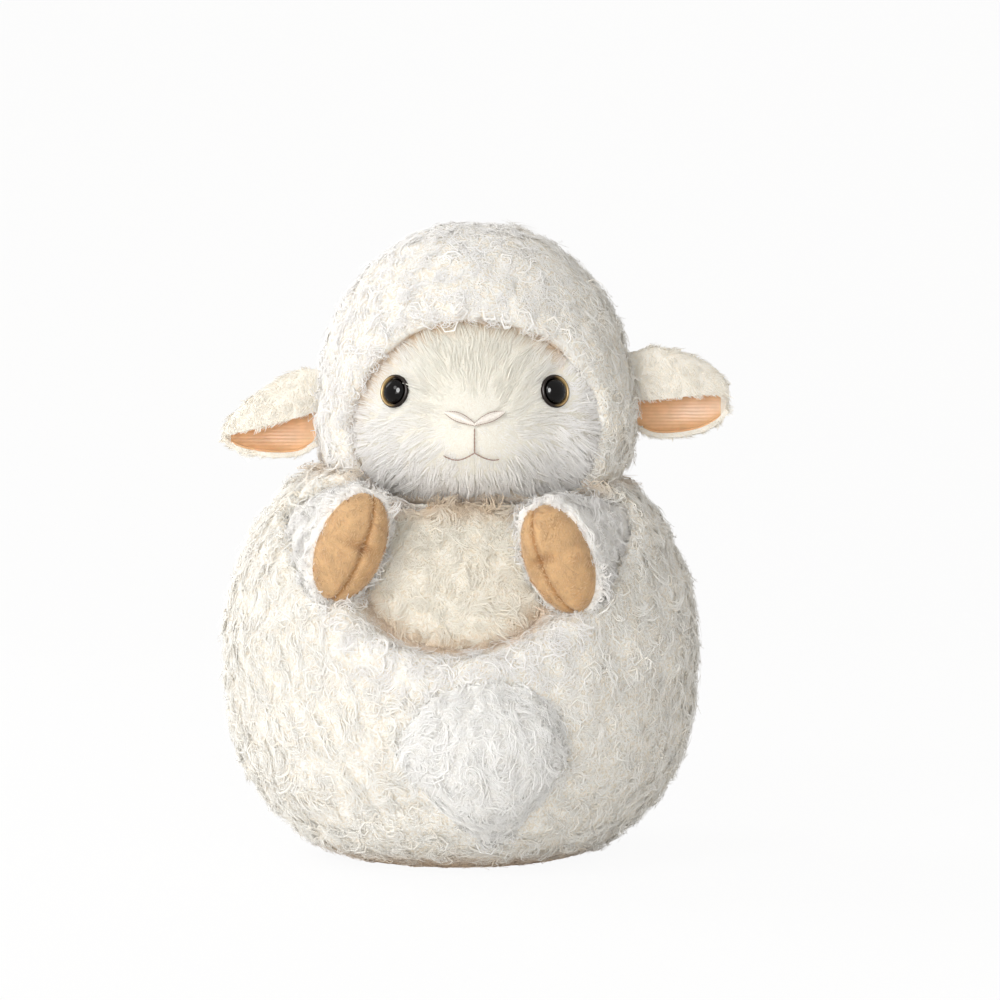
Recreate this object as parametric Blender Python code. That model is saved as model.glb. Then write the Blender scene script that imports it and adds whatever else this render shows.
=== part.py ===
"""Plush sheep: sewn cover panels over stuffing, with a turning head, swinging ears, lifting arms and a tail flap.

The sheep sits on a flat base at height zero and faces -Y. Left and right are the sheep's own, so left is +X.
Lengths are in metres. A cover panel is what lies between an outer form and the stuffing inside it.
"""

import math

import bmesh
import bpy
from mathutils import Matrix, Vector
from mathutils.bvhtree import BVHTree

# Clearances and cutting allowances
FIT_GAP = 0.0003  # between soft pieces that touch
TURN_GAP = 0.0004  # between pieces that turn against each other
OVERRUN = 0.020  # how far a cutter runs past what it cuts
MERGE_DISTANCE = 0.00001
FAR_RING = 1000  # more rings than any form has
EMPTY_SIZE = 0.010
SHARP_ANGLE = math.radians(35)
FAR = 0.300  # half size of the boxes that split the cover into panels

# Facets of the round forms
ROUND_SEGMENTS = 32
BODY_LOWER_RINGS = 5
BODY_UPPER_RINGS = 6
HEAD_LOWER_RINGS = 5
HEAD_UPPER_RINGS = 7

# Body: a squat ball, cut flat where it sits
BODY_HALF_WIDTH = 0.0935
BODY_FRONT_DEPTH = 0.0900
BODY_BACK_DEPTH = 0.0820
BODY_WIDEST_HEIGHT = 0.0850
BODY_RISE = 0.0850
BASE_FLATTENING = 0.0050  # how much of the ball the flat base takes off
BODY_DROP = BODY_WIDEST_HEIGHT + BASE_FLATTENING
BODY_UPPER_ROUNDNESS = 2.2
BODY_LOWER_ROUNDNESS = 2.6
WOOL_THICKNESS = 0.0070  # pile and backing of the curly cover
SIDE_SEAM_Y = -0.0050
BASE_PANEL_RADIUS = 0.0360
BASE_CUT_HEIGHT = 0.0250

# Front pocket between the rolled-up lap and the belly
POCKET_BACK_FROM_FRONT = 0.0020  # from the body's front to the pocket's middle
POCKET_RISE = 0.0440  # above the body's widest height
POCKET_HALF_WIDTH = 0.0560
POCKET_HALF_DEPTH = 0.0420
POCKET_HALF_HEIGHT = 0.0450
POCKET_LINING = 0.0050
CHIN_HALF_WIDTH = 0.0385
CHIN_DEPTH = 0.0550
CHIN_RISE = 0.0330
BELLY_INSET = 0.0130
BELLY_THICKNESS = 0.0050

# Pellet pouch that weights the base
POUCH_RADIUS = 0.0330
POUCH_HEIGHT = 0.0220
POUCH_ROUNDNESS = 3.0
POUCH_RINGS = 4

# Head: a dome on a flat-bottomed bun, turned about the neck axis
NECK_X = 0.0060
NECK_Y = -0.0040
HEAD_RADIUS = 0.0625
HEAD_RISE = 0.0750
HEAD_DROP = 0.0380
HEAD_SINK = 0.0330  # how deep the head sits in the top of the body
HEAD_WIDEST_HEIGHT = BODY_WIDEST_HEIGHT + BODY_RISE - HEAD_SINK + HEAD_DROP
HEAD_UPPER_ROUNDNESS = 2.1
HEAD_LOWER_ROUNDNESS = 3.0
HOOD_THICKNESS = 0.0100
SEAT_LINING = 0.0050
NECK_CORE_RADIUS = 0.0415
NECK_SEAM_RADIUS = 0.0430
NECK_SEAM_CORD_RADIUS = 0.0010
NECK_OPENING_RADIUS = 0.0446
NECK_SEAM_DEPTH = 0.0018

# Face, set back in the hood's oval opening
FACE_INSET = 0.0055
FACE_HALF_WIDTH = 0.0540
FACE_HALF_HEIGHT = 0.0460
FACE_OPENING_DEPTH = 0.0620
FACE_CENTRE_FALL = 0.0080  # below the head's widest height
MUZZLE_OUT = 0.0065
MUZZLE_HALF_WIDTH = 0.0250
MUZZLE_HALF_HEIGHT = 0.0180
MUZZLE_FALL = 0.0090
GUSSET_TIP_RISE = -0.0030  # above the head's widest height
GUSSET_NOSE_HALF_WIDTH = 0.0110
GUSSET_NOSE_RISE = 0.0025
GUSSET_BROW_HALF_WIDTH = 0.0200
GUSSET_BROW_RISE = 0.0210
GUSSET_TOP_HALF_WIDTH = 0.0240
GUSSET_TOP_RISE = 0.0650

# Safety eyes: a domed pupil with a shank, a rim round it and a washer behind the face
EYE_SPREAD = 0.0300
EYE_RISE = 0.0092
EYE_HEIGHT = HEAD_WIDEST_HEIGHT + EYE_RISE
EYE_STANDOFF = 0.0006
PUPIL_RADIUS = 0.0050
PUPIL_RISE = 0.0034
RIM_INNER_RADIUS = 0.0053
RIM_OUTER_RADIUS = 0.0064
RIM_RISE = 0.0012
SHANK_RADIUS = 0.0015
SHANK_LENGTH = 0.0095
WASHER_RADIUS = 0.0058
WASHER_THICKNESS = 0.0012
WASHER_SETBACK = 0.0014  # room behind the face's curve
EYE_SEGMENTS = 16
DOME_RINGS = 3

# Sewn nose and mouth
NOSE_HALF_WIDTH = 0.0108
NOSE_SLOPE_RISE = 0.0046
NOSE_POINT_RISE = -0.0035
NOSE_STITCH_RADIUS = 0.0011
NOSE_THINNEST_SHARE = 0.4
THREAD_RADIUS = 0.00045
LIP_LINE_LENGTH = 0.0075
MOUTH_HALF_WIDTH = 0.0105
MOUTH_SAG = 0.0026
MOUTH_TURN_SHARE = 0.85
STITCH_POINTS = 8

# Ears: cupped leaves, gathered into a root bead that is sewn into the hood
EAR_RISE_LEFT = 0.0100
EAR_RISE_RIGHT = 0.0035
EAR_DROOPS = {1: math.radians(5), -1: math.radians(16)}
EAR_Y = -0.0050
EAR_LENGTH = 0.0400
EAR_HALF_HEIGHT = 0.0190
EAR_ROOT_OUT = 0.0034  # where the leaf starts, so that it clears the hood as it swings
EAR_ROOT_HALF_DEPTH = 0.0035
EAR_SWELL_DEPTH = 0.0050
EAR_PILE = 0.0022
EAR_LINING = 0.0009
EAR_BEAD_RADIUS = 0.0045
EAR_BEAD_SINK = 0.0012
EAR_BEAD_HALF_LENGTH = 0.0150
EAR_TAPER = 2.6
EAR_TIP_HEIGHT_SHARE = 0.3
EAR_SWEEP_START = math.radians(-100)
EAR_SWEEP_END = math.radians(196)
EAR_TIP_SHARE = 0.97
EAR_STEPS_LONG = 8
EAR_STEPS_ROUND = 14
EAR_LINING_MARGIN_STEPS = 1  # how many steps of the leaf the lining stays inside the fur's edge

# Arms: a sleeve from the shoulder to a two-toed hoof that rests in the pocket
SHOULDER_FROM_SIDE = 0.0375  # in from the body's widest point
SHOULDER_FROM_FRONT = 0.0600
SHOULDER_RISE = 0.0430
SHOULDER_RADIUS = 0.0125
HOOF_FROM_SIDE_LEFT = 0.0560
HOOF_FROM_SIDE_RIGHT = 0.0530
HOOF_FROM_FRONT = 0.0155
HOOF_RISE_LEFT = 0.0365
HOOF_RISE_RIGHT = 0.0410
HOOF_HALF_HEIGHT = 0.0225
TOE_HALF_WIDTH = 0.0092
TOE_SPREAD = 0.0042
TOE_HALF_DEPTH = 0.0120
HOOF_SKIN = 0.0030
CUFF_MARGIN = 0.0014
HOOF_LEAN = math.radians(22)
HOOF_TURN = math.radians(16)
ARM_LIFT = math.radians(18)
ARM_SWEEP_STEPS = 5
ARM_CLEARANCE = 0.0005
BALL_SEGMENTS = 16
BALL_RINGS = 10

# Tail: a fluffy flap sewn below the pocket, lying on the lap
TAIL_HINGE_X = 0.0080
TAIL_SEAM_ALLOWANCE = 0.0010
TAIL_CENTRE_X = 0.0110
TAIL_FALL = 0.0400  # from the body's widest height to the tail's middle
TAIL_HALF_WIDTH = 0.0320
TAIL_HALF_HEIGHT = 0.0340
TAIL_TAPER = 0.22
TAIL_TILT = math.radians(9)
TAIL_BACKING = 0.0030
TAIL_PILE = 0.0095
TAIL_RINGS = 4
TAIL_SEGMENTS = 20

LEFT = 1
RIGHT = -1
SIDES = {LEFT: "left", RIGHT: "right"}


def clear_scene():
    for old in list(bpy.data.objects):
        bpy.data.objects.remove(old)


def make_material(name, colour, roughness, metallic=0.0):
    material = bpy.data.materials.new(name)
    material.use_nodes = True
    shader = material.node_tree.nodes["Principled BSDF"]
    shader.inputs["Base Color"].default_value = (*colour, 1.0)
    shader.inputs["Roughness"].default_value = roughness
    shader.inputs["Metallic"].default_value = metallic
    return material


def make_object(name, mesh, material):
    made = bpy.data.objects.new(name, mesh)
    bpy.context.scene.collection.objects.link(made)
    mesh.materials.append(material)
    return made


def make_guide(name, mesh):
    """A cutter or form that other pieces are made with. It isn't a piece itself."""
    guide = bpy.data.objects.new(name, mesh)
    bpy.context.scene.collection.objects.link(guide)
    guide.hide_render = True
    guide.display_type = "WIRE"
    return guide


def as_piece(form, material):
    """Turn a guide form into a piece of the sheep."""
    form.hide_render = False
    form.display_type = "TEXTURED"
    form.data.materials.append(material)
    return form


def hang_on(axis_name, place, pieces):
    """Parent pieces to an empty that stands on the axis they turn about."""
    axis = bpy.data.objects.new(axis_name, None)
    bpy.context.scene.collection.objects.link(axis)
    axis.location = place
    axis.empty_display_size = EMPTY_SIZE
    for name in pieces:
        piece = bpy.data.objects[name]
        piece.parent = axis
        piece.matrix_parent_inverse = Matrix.Translation(place).inverted()


def add_boolean(target, operation, other):
    step = target.modifiers.new(f"{operation.lower()} {other.name}", "BOOLEAN")
    step.operation = operation
    step.object = other
    step.solver = "EXACT"


def subtract(target, *others):
    for other in others:
        add_boolean(target, "DIFFERENCE", other)


def keep_inside(target, *others):
    for other in others:
        add_boolean(target, "INTERSECT", other)


def join_with(target, *others):
    for other in others:
        add_boolean(target, "UNION", other)


def mesh_from(name, points, faces):
    mesh = bpy.data.meshes.new(name)
    mesh.from_pydata([tuple(p) for p in points], [], faces)
    return smoothed(mesh)


def smoothed(mesh):
    mesh.update()
    mesh.shade_smooth()
    mesh.set_sharp_from_angle(angle=SHARP_ANGLE)
    return mesh


def lathe_mesh(name, loops, mirrored_from=FAR_RING):
    """Closed mesh through rings of points listed from bottom to top. A ring of one point is a pole.

    From a given ring on, the facets are cut along their other diagonal, so that two pads can lie face to face.
    """
    points = []
    starts = []
    for loop in loops:
        starts.append(len(points))
        points.extend(loop)
    faces = []
    for k in range(len(loops) - 1):
        low, high = starts[k], starts[k + 1]
        low_count, high_count = len(loops[k]), len(loops[k + 1])
        for i in range(max(low_count, high_count)):
            j = (i + 1) % max(low_count, high_count)
            if low_count == 1:
                faces.append((low, high + j, high + i))
            elif high_count == 1:
                faces.append((low + i, low + j, high))
            elif k >= mirrored_from:
                faces.append((low + i, low + j, high + i))
                faces.append((low + j, high + j, high + i))
            else:
                faces.append((low + i, low + j, high + j))
                faces.append((low + i, high + j, high + i))
    return mesh_from(name, points, faces)


def superellipse_share(drop_share, roundness):
    """Radius of a rounded form, as a share of its widest, at a height given as a share of its rise."""
    return max(0.0, 1 - abs(drop_share) ** roundness) ** (1 / roundness)


def body_profile(inset):
    """(height, radius share) of each ring of the body form, from the flat base to the crown."""
    base_share = (BODY_WIDEST_HEIGHT - inset) / (BODY_DROP - inset)
    base_angle = math.asin(base_share ** (BODY_LOWER_ROUNDNESS / 2))
    rings = []
    for k in range(BODY_LOWER_RINGS):
        angle = base_angle * (1 - k / BODY_LOWER_RINGS)
        fall_share = math.sin(angle) ** (2 / BODY_LOWER_ROUNDNESS)
        height = BODY_WIDEST_HEIGHT - (BODY_DROP - inset) * fall_share
        rings.append((height, superellipse_share(fall_share, BODY_LOWER_ROUNDNESS)))
    for k in range(BODY_UPPER_RINGS):
        angle = math.pi / 2 * k / BODY_UPPER_RINGS
        rise_share = math.sin(angle) ** (2 / BODY_UPPER_ROUNDNESS)
        height = BODY_WIDEST_HEIGHT + (BODY_RISE - inset) * rise_share
        rings.append((height, superellipse_share(rise_share, BODY_UPPER_ROUNDNESS)))
    return rings


def body_form(name, inset):
    """The body's ball, drawn in by an inset all round, as a guide."""
    loops = [[Vector((0, 0, inset))]]
    for height, share in body_profile(inset):
        loop = []
        for k in range(ROUND_SEGMENTS):
            azimuth = 2 * math.pi * (k + 0.5) / ROUND_SEGMENTS
            side = math.sin(azimuth)
            depth = BODY_BACK_DEPTH if side > 0 else BODY_FRONT_DEPTH
            x = (BODY_HALF_WIDTH - inset) * share * math.cos(azimuth)
            loop.append(Vector((x, (depth - inset) * share * side, height)))
        loops.append(loop)
    loops.append([Vector((0, 0, BODY_WIDEST_HEIGHT + BODY_RISE - inset))])
    return make_guide(name, lathe_mesh(name, loops))


def body_front_y(x, height, outset):
    """Y of the body's front surface, standing proud by an outset."""
    if height > BODY_WIDEST_HEIGHT:
        share = superellipse_share((height - BODY_WIDEST_HEIGHT) / (BODY_RISE + outset), BODY_UPPER_ROUNDNESS)
    else:
        share = superellipse_share((BODY_WIDEST_HEIGHT - height) / (BODY_DROP + outset), BODY_LOWER_ROUNDNESS)
    x_share = x / (BODY_HALF_WIDTH + outset)
    return -(BODY_FRONT_DEPTH + outset) * math.sqrt(max(0.0, share**2 - x_share**2))


def head_radius(height, inset):
    if height > HEAD_WIDEST_HEIGHT:
        share = superellipse_share((height - HEAD_WIDEST_HEIGHT) / (HEAD_RISE - inset), HEAD_UPPER_ROUNDNESS)
    else:
        share = superellipse_share((HEAD_WIDEST_HEIGHT - height) / (HEAD_DROP - inset), HEAD_LOWER_ROUNDNESS)
    return (HEAD_RADIUS - inset) * share


def muzzle_swell(x, height):
    """How far the muzzle pushes the face forward."""
    across = (x - NECK_X) / MUZZLE_HALF_WIDTH
    up = (height - HEAD_WIDEST_HEIGHT + MUZZLE_FALL) / MUZZLE_HALF_HEIGHT
    return MUZZLE_OUT * math.exp(-(across**2) - up**2)


def head_ring(height, radius, muzzle):
    loop = []
    for k in range(ROUND_SEGMENTS):
        azimuth = 2 * math.pi * (k + 0.5) / ROUND_SEGMENTS
        x = NECK_X + radius * math.cos(azimuth)
        y = NECK_Y + radius * math.sin(azimuth)
        if muzzle and y < NECK_Y:
            y -= muzzle_swell(x, height) * abs(math.sin(azimuth))
        loop.append(Vector((x, y, height)))
    return loop


def head_form(name, inset, muzzle=False):
    """The head, drawn in by an inset all round, as a guide. Without its muzzle it is round about the neck axis."""
    loops = [[Vector((NECK_X, NECK_Y, HEAD_WIDEST_HEIGHT - HEAD_DROP + inset))]]
    for k in range(1, HEAD_LOWER_RINGS + 1):
        angle = math.pi / 2 * (1 - k / HEAD_LOWER_RINGS)
        height = HEAD_WIDEST_HEIGHT - (HEAD_DROP - inset) * math.sin(angle) ** (2 / HEAD_LOWER_ROUNDNESS)
        loops.append(head_ring(height, head_radius(height, inset), muzzle))
    for k in range(1, HEAD_UPPER_RINGS):
        angle = math.pi / 2 * k / HEAD_UPPER_RINGS
        height = HEAD_WIDEST_HEIGHT + (HEAD_RISE - inset) * math.sin(angle) ** (2 / HEAD_UPPER_ROUNDNESS)
        loops.append(head_ring(height, head_radius(height, inset), muzzle))
    loops.append([Vector((NECK_X, NECK_Y, HEAD_WIDEST_HEIGHT + HEAD_RISE - inset))])
    return make_guide(name, lathe_mesh(name, loops))


def face_y(x, height):
    """Y of the face's outer surface, before it is faceted."""
    radius = head_radius(height, FACE_INSET)
    across = x - NECK_X
    depth = math.sqrt(max(0.0, radius**2 - across**2))
    return NECK_Y - depth - muzzle_swell(x, height) * depth / radius


def ball_mesh(name, centre, semi_axes, turn=None, segments=BALL_SEGMENTS, rings=BALL_RINGS):
    mesh = bpy.data.meshes.new(name)
    shape = bmesh.new()
    matrix = Matrix.Translation(centre) @ (turn or Matrix.Identity(4)) @ Matrix.Diagonal((*semi_axes, 1))
    bmesh.ops.create_uvsphere(shape, u_segments=segments, v_segments=rings, radius=1, matrix=matrix)
    bmesh.ops.triangulate(shape, faces=shape.faces)
    shape.to_mesh(mesh)
    shape.free()
    return smoothed(mesh)


def box_guide(name, low, high):
    mesh = bpy.data.meshes.new(name)
    shape = bmesh.new()
    low, high = Vector(map(min, low, high)), Vector(map(max, low, high))
    matrix = Matrix.Translation((low + high) / 2) @ Matrix.Diagonal((*(high - low), 1))
    bmesh.ops.create_cube(shape, size=1, matrix=matrix)
    shape.to_mesh(mesh)
    shape.free()
    return make_guide(name, smoothed(mesh))


def cylinder_guide(name, radius, low, high, frame=None, segments=ROUND_SEGMENTS):
    """An upright cylinder between two heights, moved by a frame if one is given."""
    mesh = bpy.data.meshes.new(name)
    shape = bmesh.new()
    matrix = (frame or Matrix.Identity(4)) @ Matrix.Translation((0, 0, (low + high) / 2))
    matrix = matrix @ Matrix.Rotation(math.pi / 2 / segments, 4, "Z")
    bmesh.ops.create_cone(
        shape, cap_ends=True, segments=segments, radius1=radius, radius2=radius, depth=high - low, matrix=matrix
    )
    shape.to_mesh(mesh)
    shape.free()
    return make_guide(name, smoothed(mesh))


def neck_frame():
    return Matrix.Translation((NECK_X, NECK_Y, 0))


def split_boxes():
    """Boxes that part the body cover at the side seams, the back seam and the front seam."""
    half_gap = FIT_GAP / 2
    boxes = {}
    for side, word in SIDES.items():
        x_low, x_high = side * half_gap, side * FAR
        boxes["lap", side] = box_guide(
            f"lap_{word}_region", (x_low, SIDE_SEAM_Y - half_gap, -FAR), (x_high, -FAR, FAR)
        )
        boxes["back", side] = box_guide(
            f"back_{word}_region", (x_low, SIDE_SEAM_Y + half_gap, -FAR), (x_high, FAR, FAR)
        )
        x_low, x_high = NECK_X + x_low, NECK_X + x_high
        boxes["head", side] = box_guide(f"head_{word}_region", (x_low, -FAR, -FAR), (x_high, FAR, FAR))
    return boxes


def pocket_form(name, outset):
    """The hollow at the front between the lap's rolled edge and the belly."""
    semi_axes = (POCKET_HALF_WIDTH + outset, POCKET_HALF_DEPTH + outset, POCKET_HALF_HEIGHT + outset)
    centre = Vector((0, POCKET_BACK_FROM_FRONT - BODY_FRONT_DEPTH, BODY_WIDEST_HEIGHT + POCKET_RISE))
    return make_guide(name, ball_mesh(name, centre, semi_axes, segments=32, rings=20))


def body_core(name, gap):
    """What the cover and the belly hold, drawn in by a gap, as a guide."""
    core = body_form(name, WOOL_THICKNESS + gap)
    subtract(core, pocket_form(f"{name}_pocket", POCKET_LINING + gap))
    join_with(core, body_form(f"{name}_deep", BELLY_INSET + BELLY_THICKNESS + gap))
    subtract(core, head_form(f"{name}_seat", -TURN_GAP - SEAT_LINING - gap))
    return core


def pouch_mesh(name, clearance, base):
    """A round pouch with a flat bottom at the base height and a rounded top."""
    rest = WOOL_THICKNESS + FIT_GAP
    profile = [(base, 1.0)] if base < rest else []
    for k in range(POUCH_RINGS):
        angle = math.pi / 2 * k / POUCH_RINGS
        rise_share = math.sin(angle) ** (2 / POUCH_ROUNDNESS)
        height = rest + (POUCH_HEIGHT + clearance) * rise_share
        profile.append((height, superellipse_share(rise_share, POUCH_ROUNDNESS)))
    loops = [[Vector((0, 0, base))]]
    turns = [2 * math.pi * k / ROUND_SEGMENTS for k in range(ROUND_SEGMENTS)]
    for height, share in profile:
        radius = (POUCH_RADIUS + clearance) * share
        loops.append([Vector((radius * math.cos(turn), radius * math.sin(turn), height)) for turn in turns])
    loops.append([Vector((0, 0, rest + POUCH_HEIGHT + clearance))])
    return lathe_mesh(name, loops)


def make_body(materials, boxes, arm_sweeps):
    """The body's cover panels, belly, stuffing and pellet pouch."""
    core_space = body_core("body_core_space", 0.0)
    seat = head_form("head_seat", -TURN_GAP)
    neck_cut = cylinder_guide(
        "neck_opening", NECK_OPENING_RADIUS, HEAD_WIDEST_HEIGHT - HEAD_DROP - OVERRUN, FAR, neck_frame()
    )
    pocket = pocket_form("pocket", 0.0)
    chin_corner = (-CHIN_HALF_WIDTH, -FAR, BODY_WIDEST_HEIGHT + CHIN_RISE)
    chin = box_guide("chin_room", chin_corner, (CHIN_HALF_WIDTH, CHIN_DEPTH - BODY_FRONT_DEPTH, FAR))
    base_plug = cylinder_guide("base_region", BASE_PANEL_RADIUS, -OVERRUN, BASE_CUT_HEIGHT)
    base_cut = cylinder_guide("base_opening", BASE_PANEL_RADIUS + FIT_GAP, -OVERRUN, BASE_CUT_HEIGHT)
    for part in ("lap", "back"):
        for side, word in SIDES.items():
            name = f"{part}_panel_{word}"
            panel = body_form(name, 0.0)
            as_piece(panel, materials["curly_wool"])
            keep_inside(panel, boxes[part, side])
            subtract(panel, core_space, seat, neck_cut, base_cut)
            if part == "lap":
                subtract(panel, pocket, chin, arm_sweeps[side])
    base = body_form("base_panel", 0.0)
    as_piece(base, materials["base_cloth"])
    keep_inside(base, base_plug)
    subtract(base, core_space)
    belly = body_form("belly_panel", BELLY_INSET)
    as_piece(belly, materials["belly_wool"])
    keep_inside(belly, pocket_form("belly_region", -FIT_GAP))
    subtract(belly, core_space, seat, neck_cut, arm_sweeps[LEFT], arm_sweeps[RIGHT])
    stuffing = body_core("body_stuffing", FIT_GAP)
    neck = cylinder_guide("body_neck", NECK_CORE_RADIUS, BODY_WIDEST_HEIGHT, HEAD_WIDEST_HEIGHT, neck_frame())
    subtract(neck, seat)
    join_with(stuffing, neck)
    as_piece(stuffing, materials["fibre"])
    pouch_space = make_guide("pouch_space", pouch_mesh("pouch_space", FIT_GAP, 0.0))
    subtract(stuffing, pouch_space, arm_sweeps[LEFT], arm_sweeps[RIGHT])
    make_object(
        "pellet_pouch", pouch_mesh("pellet_pouch", 0.0, WOOL_THICKNESS + FIT_GAP), materials["pouch_cloth"]
    )


def make_neck_seam(materials):
    """The ring of closing stitches round the neck."""
    radius_height = HEAD_WIDEST_HEIGHT - HEAD_DROP * (
        (1 - (NECK_SEAM_RADIUS / HEAD_RADIUS) ** HEAD_LOWER_ROUNDNESS) ** (1 / HEAD_LOWER_ROUNDNESS)
    )
    path = bpy.data.curves.new("neck_seam", "CURVE")
    path.dimensions = "3D"
    path.bevel_depth = NECK_SEAM_CORD_RADIUS
    path.bevel_resolution = 1
    ring = path.splines.new("POLY")
    ring.points.add(ROUND_SEGMENTS - 1)
    ring.use_cyclic_u = True
    for k, point in enumerate(ring.points):
        azimuth = 2 * math.pi * (k + 0.5) / ROUND_SEGMENTS
        x = NECK_X + NECK_SEAM_RADIUS * math.cos(azimuth)
        y = NECK_Y + NECK_SEAM_RADIUS * math.sin(azimuth)
        point.co = (x, y, radius_height - NECK_SEAM_DEPTH, 1)
    make_object("neck_seam", path, materials["thread"])


def gusset_region(name, gap):
    """The forehead panel's outline, narrow at the nose and wide at the brow, pushed through the face."""
    half = [
        (0.0, HEAD_WIDEST_HEIGHT + GUSSET_TIP_RISE),
        (GUSSET_NOSE_HALF_WIDTH, HEAD_WIDEST_HEIGHT + GUSSET_NOSE_RISE),
        (GUSSET_BROW_HALF_WIDTH, HEAD_WIDEST_HEIGHT + GUSSET_BROW_RISE),
        (GUSSET_TOP_HALF_WIDTH, HEAD_WIDEST_HEIGHT + GUSSET_TOP_RISE),
    ]
    outline = [(NECK_X, half[0][1] + gap)]
    outline += [(NECK_X + x - gap, z + gap) for x, z in half[1:]]
    outline += [(NECK_X - x + gap, z + gap) for x, z in reversed(half[1:])]
    count = len(outline)
    points = [(x, -FAR, z) for x, z in outline] + [(x, NECK_Y, z) for x, z in outline]
    faces = [tuple(range(count)), tuple(reversed(range(count, 2 * count)))]
    for k in range(count):
        j = (k + 1) % count
        faces.append((k, k + count, j + count, j))
    return make_guide(name, mesh_from(name, points, faces))


def face_region(name, inset):
    semi_axes = (FACE_HALF_WIDTH - inset, FACE_OPENING_DEPTH - inset, FACE_HALF_HEIGHT - inset)
    centre = Vector((NECK_X, NECK_Y - HEAD_RADIUS, HEAD_WIDEST_HEIGHT - FACE_CENTRE_FALL))
    return make_guide(name, ball_mesh(name, centre, semi_axes, segments=32, rings=20))


def face_finder():
    """The faceted face, ready for its surface to be looked up from the front."""
    guide = head_form("face_lookup", FACE_INSET, muzzle=True)
    points = [vertex.co.copy() for vertex in guide.data.vertices]
    return BVHTree.FromPolygons(points, [tuple(face.vertices) for face in guide.data.polygons])


def face_place(face, x, height, outset):
    """The point that stands proud of the face by an outset at a given X and height."""
    hit, normal, _index, _distance = face.ray_cast(Vector((x, -FAR, height)), Vector((0, 1, 0)))
    return hit + normal * outset


def eye_frame(side, face):
    """Where an eye sits on the face, with its local Z pointing straight out."""
    x = NECK_X + side * EYE_SPREAD
    step = FIT_GAP
    slope_x = (face_y(x + step, EYE_HEIGHT) - face_y(x - step, EYE_HEIGHT)) / (2 * step)
    slope_z = (face_y(x, EYE_HEIGHT + step) - face_y(x, EYE_HEIGHT - step)) / (2 * step)
    outward = Vector((slope_x, -1, slope_z)).normalized()
    place = face_place(face, x, EYE_HEIGHT, 0.0) + outward * EYE_STANDOFF
    return Matrix.Translation(place) @ outward.to_track_quat("Z", "Y").to_matrix().to_4x4()


def turned_mesh(name, frame, profile, segments):
    """A turned shape from (radius, height) pairs listed from bottom to top, both ends on the axis."""
    loops = []
    for radius, height in profile:
        turns = [2 * math.pi * k / segments for k in range(segments)] if radius > 0 else [0.0]
        loops.append([frame @ Vector((radius * math.cos(a), radius * math.sin(a), height)) for a in turns])
    return lathe_mesh(name, loops)


def ring_mesh(name, frame, section, segments):
    """A turned ring from a closed section of (radius, height) pairs."""
    points = []
    faces = []
    count = len(section)
    for k in range(segments):
        a = 2 * math.pi * k / segments
        points += [frame @ Vector((r * math.cos(a), r * math.sin(a), h)) for r, h in section]
    for k in range(segments):
        here, there = k * count, (k + 1) % segments * count
        for i in range(count):
            j = (i + 1) % count
            faces.append((here + i, there + i, there + j, here + j))
    return mesh_from(name, points, faces)


def make_eye(side, materials, face):
    """One eye: pupil with shank, rim and washer. Returns the guides that the face and stuffing are cut with."""
    word = SIDES[side]
    frame = eye_frame(side, face)
    dome = []
    for k in range(DOME_RINGS):
        angle = math.pi / 2 * k / DOME_RINGS
        dome.append((PUPIL_RADIUS * math.cos(angle), PUPIL_RISE * math.sin(angle)))
    profile = [(0, -SHANK_LENGTH), (SHANK_RADIUS, -SHANK_LENGTH), (SHANK_RADIUS, 0), *dome, (0, PUPIL_RISE)]
    make_object(f"eye_{word}", turned_mesh(f"eye_{word}", frame, profile, EYE_SEGMENTS), materials["pupil"])
    middle = (RIM_INNER_RADIUS + RIM_OUTER_RADIUS) / 2
    section = [(RIM_INNER_RADIUS, 0), (RIM_OUTER_RADIUS, 0), (RIM_OUTER_RADIUS, RIM_RISE / 2)]
    section += [(middle, RIM_RISE), (RIM_INNER_RADIUS, RIM_RISE / 2)]
    make_object(f"eye_rim_{word}", ring_mesh(f"eye_rim_{word}", frame, section, EYE_SEGMENTS), materials["iris"])
    washer_top = FACE_INSET - HOOD_THICKNESS - WASHER_SETBACK
    washer_low = washer_top - WASHER_THICKNESS
    hole = SHANK_RADIUS + FIT_GAP
    section = [(hole, washer_low), (WASHER_RADIUS, washer_low), (WASHER_RADIUS, washer_top), (hole, washer_top)]
    make_object(
        f"eye_washer_{word}", ring_mesh(f"eye_washer_{word}", frame, section, EYE_SEGMENTS), materials["washer"]
    )
    shank_hole = cylinder_guide(
        f"shank_hole_{word}", hole, -SHANK_LENGTH - FIT_GAP, SHANK_LENGTH, frame, EYE_SEGMENTS
    )
    pocket = cylinder_guide(
        f"washer_pocket_{word}", WASHER_RADIUS + FIT_GAP, washer_low - FIT_GAP, SHANK_LENGTH, frame, EYE_SEGMENTS
    )
    return shank_hole, pocket


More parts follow.
